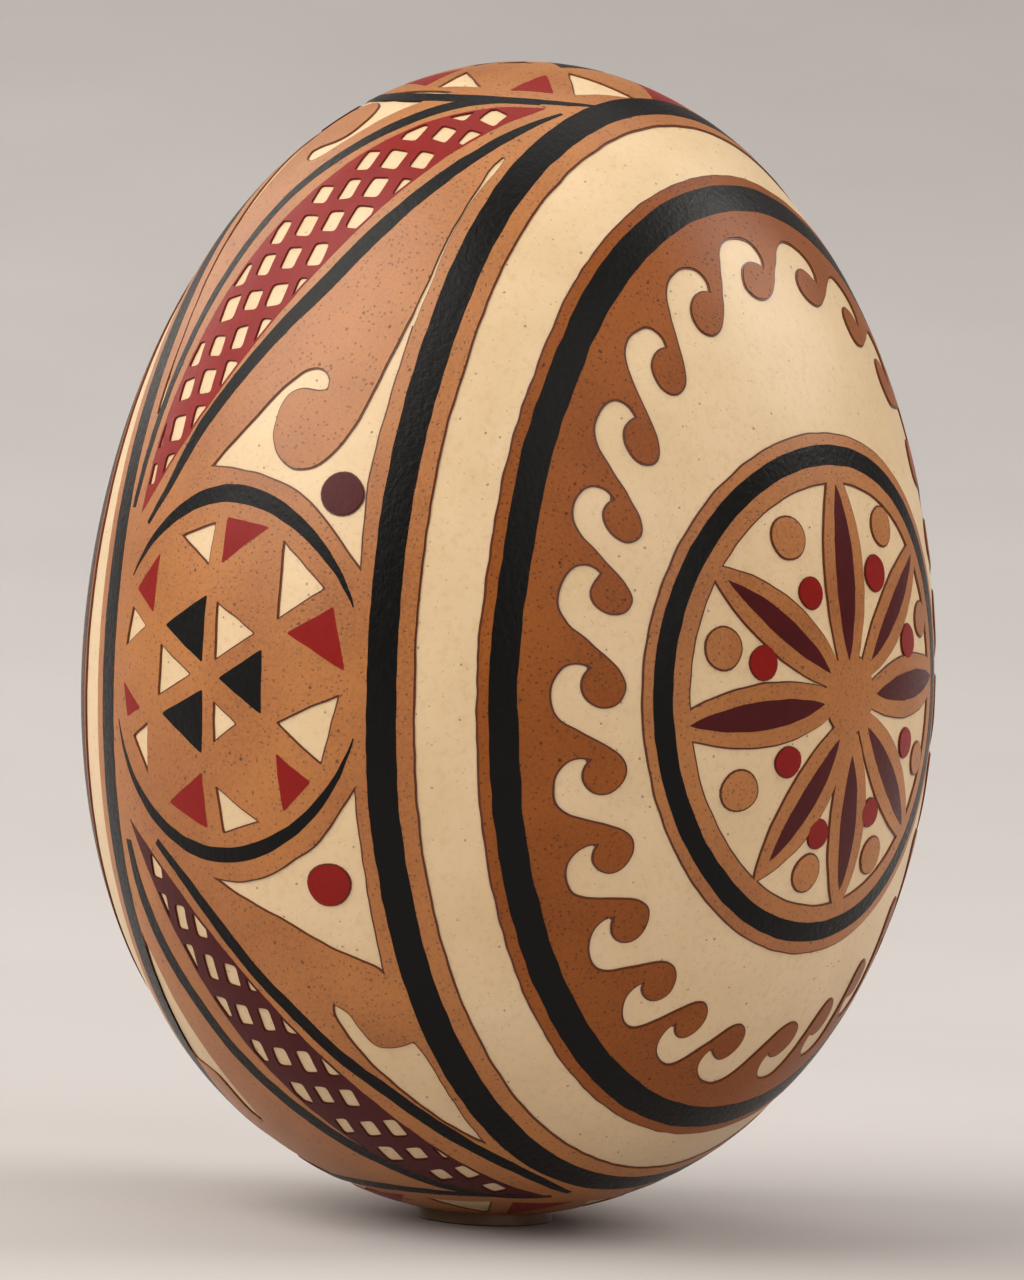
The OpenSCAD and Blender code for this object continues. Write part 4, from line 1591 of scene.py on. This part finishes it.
@dataclass
class Rosette(Assembly):
    """A rosette of eight petals in a ringed field, with dots between the petals."""

    centre: Point = (0.0, -1.6)
    edge: Point = (11.35, 12.5)
    line_out: Point = (10.95, 11.95)
    line_in: Point = (10.05, 11.0)
    field_edge: Point = (9.3, 10.2)
    hub: Point = (0.35, -1.6)
    hub_r: float = 1.9
    border: float = 0.78

    PETALS = (
        ((0.17, 0.02), (-0.02, 8.48), 1.38), ((2.05, 0.07), (6.95, 5.26), 1.0),
        ((2.6, -1.57), (9.86, -0.7), 1.4), ((1.93, -3.2), (7.1, -8.07), 1.15),
        ((0.81, -4.57), (1.64, -11.05), 1.25), ((-0.33, -3.74), (-3.95, -9.57), 1.1),
        ((-1.57, -2.05), (-9.24, -3.14), 1.36), ((-1.17, -0.57), (-7.3, 3.7), 1.1),
    )
    BROWN_RIM = 0.09
    RED_RIM = 0.05
    BROWN_DOTS = (
        (-3.67, 5.86, 0.98), (3.67, 6.52, 0.95), (-7.6, 0.5, 0.93), (-6.33, -6.2, 0.98),
        (-1.26, -10.17, 0.86), (4.0, -9.4, 0.9), (7.9, 2.1, 0.8), (8.0, -4.75, 0.8),
    )
    RED_DOTS = (
        (-2.45, 3.24, 0.75), (2.67, 4.24, 0.9), (-5.45, -0.14, 0.78), (-3.7, -4.79, 0.77),
        (-0.98, -8.3, 0.68), (3.1, -7.3, 0.72), (5.98, 1.02, 0.8), (6.1, -3.95, 0.75),
    )

    def _petal(self, index: int, extra: float) -> Outline:
        """Draw a petal's core, or its border where it is widened."""
        start, end, width = self.PETALS[index]
        a, b = np.array(start), np.array(end)
        along = (b - a) / np.linalg.norm(b - a)
        bulge = width / 2 + extra
        if extra:
            a, b = a - along * 1.5, b + along * (extra * 1.5)
        return Outline.leaf(tuple(a), tuple(b), bulge, bulge, 0.85)

    def _dots(self, dots: Sequence[Mark], extra: float = 0.0) -> list[Outline]:
        """Draw dots, each a little out of round."""
        made = []
        for i, (y, z, r) in enumerate(dots):
            wide = r * (1 + 0.03 * math.sin(5 * i + 1)) + extra
            tall = r * (1 + 0.03 * math.cos(3 * i)) + extra
            made.append(Outline.ellipse((y, z), wide, tall))
        return made

    def _field(self, gap: float) -> bpy.types.Object:
        """Make the stencil of the bare field between the petals, drawn in by a gap."""
        wide, tall = self.field_edge
        tool = Bench.stencil([Outline.ellipse(self.centre, wide - gap, tall - gap)])
        for i in range(len(self.PETALS)):
            petal = Bench.stencil([self._petal(i, self.border + gap)])
            Bench.cut(tool, petal, Cut.DROP)
            Bench.discard(petal)
        hub = Bench.stencil([Outline.ellipse(self.hub, self.hub_r + gap)])
        Bench.cut(tool, hub, Cut.DROP)
        Bench.discard(hub)
        return tool

    def _ring(self, size: Point, extra: float = 0.0) -> list[Outline]:
        """Draw one of the rosette's ellipses."""
        return [Outline.ellipse(self.centre, size[0] + extra, size[1] + extra)]

    def build(self, sheet: bpy.types.Object, side: Side) -> None:
        """Build and dress one side's rosette."""
        p = self.palette
        cores = [self._petal(i, 0.0) for i in range(len(self.PETALS))]
        dark = Bench.carve(sheet, keep=[self._ring(self.edge, EDGE_GAP)])
        ground = Bench.carve(sheet, keep=[self._ring(self.line_in)], drop=[cores])
        for piece, gap in ((dark, EDGE_GAP), (ground, 0.0)):
            tool = self._field(gap)
            Bench.cut(piece, tool, Cut.DROP)
            Bench.discard(tool)
        rims = Bench.carve(
            sheet,
            keep=[
                self._dots(self.BROWN_DOTS, self.BROWN_RIM) + self._dots(self.RED_DOTS, self.RED_RIM)
            ],
        )
        jobs = (
            ("rosette_dark_edge", Bench.joined(dark, rims), Layer.EDGE, p.edge, Slot.BROWN),
            ("rosette_ground", ground, Layer.SKIN, p.brown, Slot.BROWN),
            ("rosette_edging", Bench.carve(
                sheet, keep=[self._ring(self.edge)], drop=[self._ring(self.line_out)]
            ), Layer.SKIN, p.brown, Slot.BROWN),
            ("rosette_ring", Bench.carve(
                sheet, keep=[self._ring(self.line_out)], drop=[self._ring(self.line_in)]
            ), Layer.DYED, p.black, Slot.BLACK),
            ("petal_cores", Bench.carve(sheet, keep=[cores]), Layer.DYED, p.maroon, Slot.MAROON),
            ("brown_dots", Bench.carve(sheet, keep=[self._dots(self.BROWN_DOTS)]), Layer.SKIN,
             p.brown, Slot.BROWN),
            ("red_dots", Bench.carve(sheet, keep=[self._dots(self.RED_DOTS)]), Layer.DYED,
             p.red, Slot.RED),
        )
        for kind, piece, layer, finish, slot in jobs:
            node = f"{kind}_{side.name.lower()}"
            self.form.lay(piece, lambda q: self.form.on_side(q, side), layer, f"{node}_visual")
            self.settle(piece, finish, slot, [] if "dark" in kind else [node])


# ---------------------------------------------------------------- floor, light, camera


@dataclass
class Studio:
    """A pale curved backdrop, soft lights, and the camera."""

    form: EggForm
    palette: Palette
    eye: tuple[float, float, float] = (206.12, -240.59, 37.45)
    lens: float = 177.3
    roll: float = 2.63
    shift: float = 0.0014
    wall_height: float = 1.6
    bend_width: float = 0.7
    step_forward: float = 0.2
    spread: float = 1.5
    paper: Backdrop = Backdrop(
        "backdrop", (184, 180, 180), (189, 185, 185), (142, 137, 135), coat=0.0
    )

    # Each light's name, direction round the egg and up in degrees, distance and width in
    # metres, and power in watts
    LIGHTS = (
        ("left_softbox", -120, 40, 0.75, 0.72, 7.0),
        ("left_rim", 178, 28, 0.8, 0.50, 1.4),
        ("right_softbox", 54, 40, 0.75, 0.40, 2.8),
        ("front_fill", -22, 30, 1.1, 1.00, 4.8),
        ("overhead", 120, 76, 1.2, 1.00, 4.0),
    )
    LAMP_TINT = (255, 250, 242)
    ROOM_TINT = (232, 226, 224)
    ROOM_LIGHT = 0.15

    def build_floor(self) -> None:
        """Lay the floor and curve it up behind the egg."""
        bpy.ops.object.select_all(action="DESELECT")
        bpy.ops.mesh.primitive_plane_add(size=2)
        floor = bpy.context.object
        floor.name = floor.data.name = "backdrop"
        with editing("DESELECT"):
            pass
        for edge in floor.data.edges:
            ends = [floor.data.vertices[i].co.y for i in edge.vertices]
            edge.select = min(ends) > 0.9
        with editing():
            lift(self.wall_height)
        bend = floor.modifiers.new("bend", "BEVEL")
        bend.width = self.bend_width
        bend.segments = 24
        bpy.ops.object.modifier_apply(modifier=bend.name)
        co = Bench.read(floor)
        co[:, 1] -= self.step_forward
        a = math.atan2(self.eye[1], self.eye[0]) + math.pi / 2
        turned = co.copy()
        turned[:, 0] = co[:, 0] * math.cos(a) - co[:, 1] * math.sin(a)
        turned[:, 1] = co[:, 0] * math.sin(a) + co[:, 1] * math.cos(a)
        turned[:, :2] *= self.spread
        Bench.write(floor, turned)
        Bench.pick(floor)
        bpy.ops.object.shade_smooth()
        self.palette.dress(floor, self.paper)

    def _light(self, name: str, azimuth: float, height: float, away: float, size: float,
               power: float) -> None:
        """Hang a softbox that faces the egg.

        Args:
            name: Its name.
            azimuth: Its direction round the egg, in degrees from +X.
            height: Its direction up, in degrees.
            away: How far it is, in metres.
            size: How wide it is, in metres.
            power: Its power, in watts.
        """
        a, e = math.radians(azimuth), math.radians(height)
        lamp = bpy.data.lights.new(name, "AREA")
        lamp.shape = "SQUARE"
        lamp.size = size
        lamp.energy = power
        lamp.color = linear(self.LAMP_TINT)[:3]
        box = bpy.data.objects.new(name, lamp)
        bpy.context.collection.objects.link(box)
        way = Vector((math.cos(e) * math.cos(a), math.cos(e) * math.sin(a), math.sin(e)))
        box.location = way * away + Vector((0, 0, self.form.middle * MM))
        box.rotation_euler = way.to_track_quat("Z", "Y").to_euler()

    def build_lights(self) -> None:
        """Hang the softboxes and set the room's soft light."""
        for light in self.LIGHTS:
            self._light(*light)
        world = bpy.data.worlds.new("room")
        world.use_nodes = True
        room = world.node_tree.nodes["Background"]
        room.inputs["Color"].default_value = linear(self.ROOM_TINT)
        room.inputs["Strength"].default_value = self.ROOM_LIGHT
        bpy.context.scene.world = world

    def build_camera(self) -> None:
        """Set up the camera, leaning a little as it was held."""
        data = bpy.data.cameras.new("camera")
        data.lens = self.lens
        data.sensor_width = 36.0
        data.shift_x = self.shift
        camera = bpy.data.objects.new("camera", data)
        bpy.context.collection.objects.link(camera)
        eye = Vector(self.eye) * MM
        aim = Vector((0, 0, (self.form.middle - 0.05) * MM))
        lean = Quaternion((0, 0, 1), math.radians(self.roll))
        camera.location = eye
        camera.rotation_mode = "QUATERNION"
        camera.rotation_quaternion = (aim - eye).to_track_quat("-Z", "Y") @ lean
        bpy.context.scene.camera = camera
        bpy.context.scene.view_settings.view_transform = "Standard"

    def build(self) -> None:
        """Build the whole studio."""
        self.build_floor()
        self.build_lights()
        self.build_camera()
        LOG.info("studio ready")


def main() -> None:
    """Build the egg from the shell outwards, and then the studio."""
    logging.basicConfig(level=logging.INFO, format="%(name)s: %(message)s")
    form = EggForm()
    palette = Palette()
    Shell(form, palette).build()
    Belt(form, palette).build()
    sheet = Bench.sheet((-18.6, -25.2), (18.6, 24.8), CELL)
    ring, rosette = WaveRing(form, palette), Rosette(form, palette)
    for side in Side:
        ring.build(sheet, side)
        rosette.build(sheet, side)
    Bench.discard(sheet)
    Studio(form, palette).build()


if __name__ == "__main__":
    main()
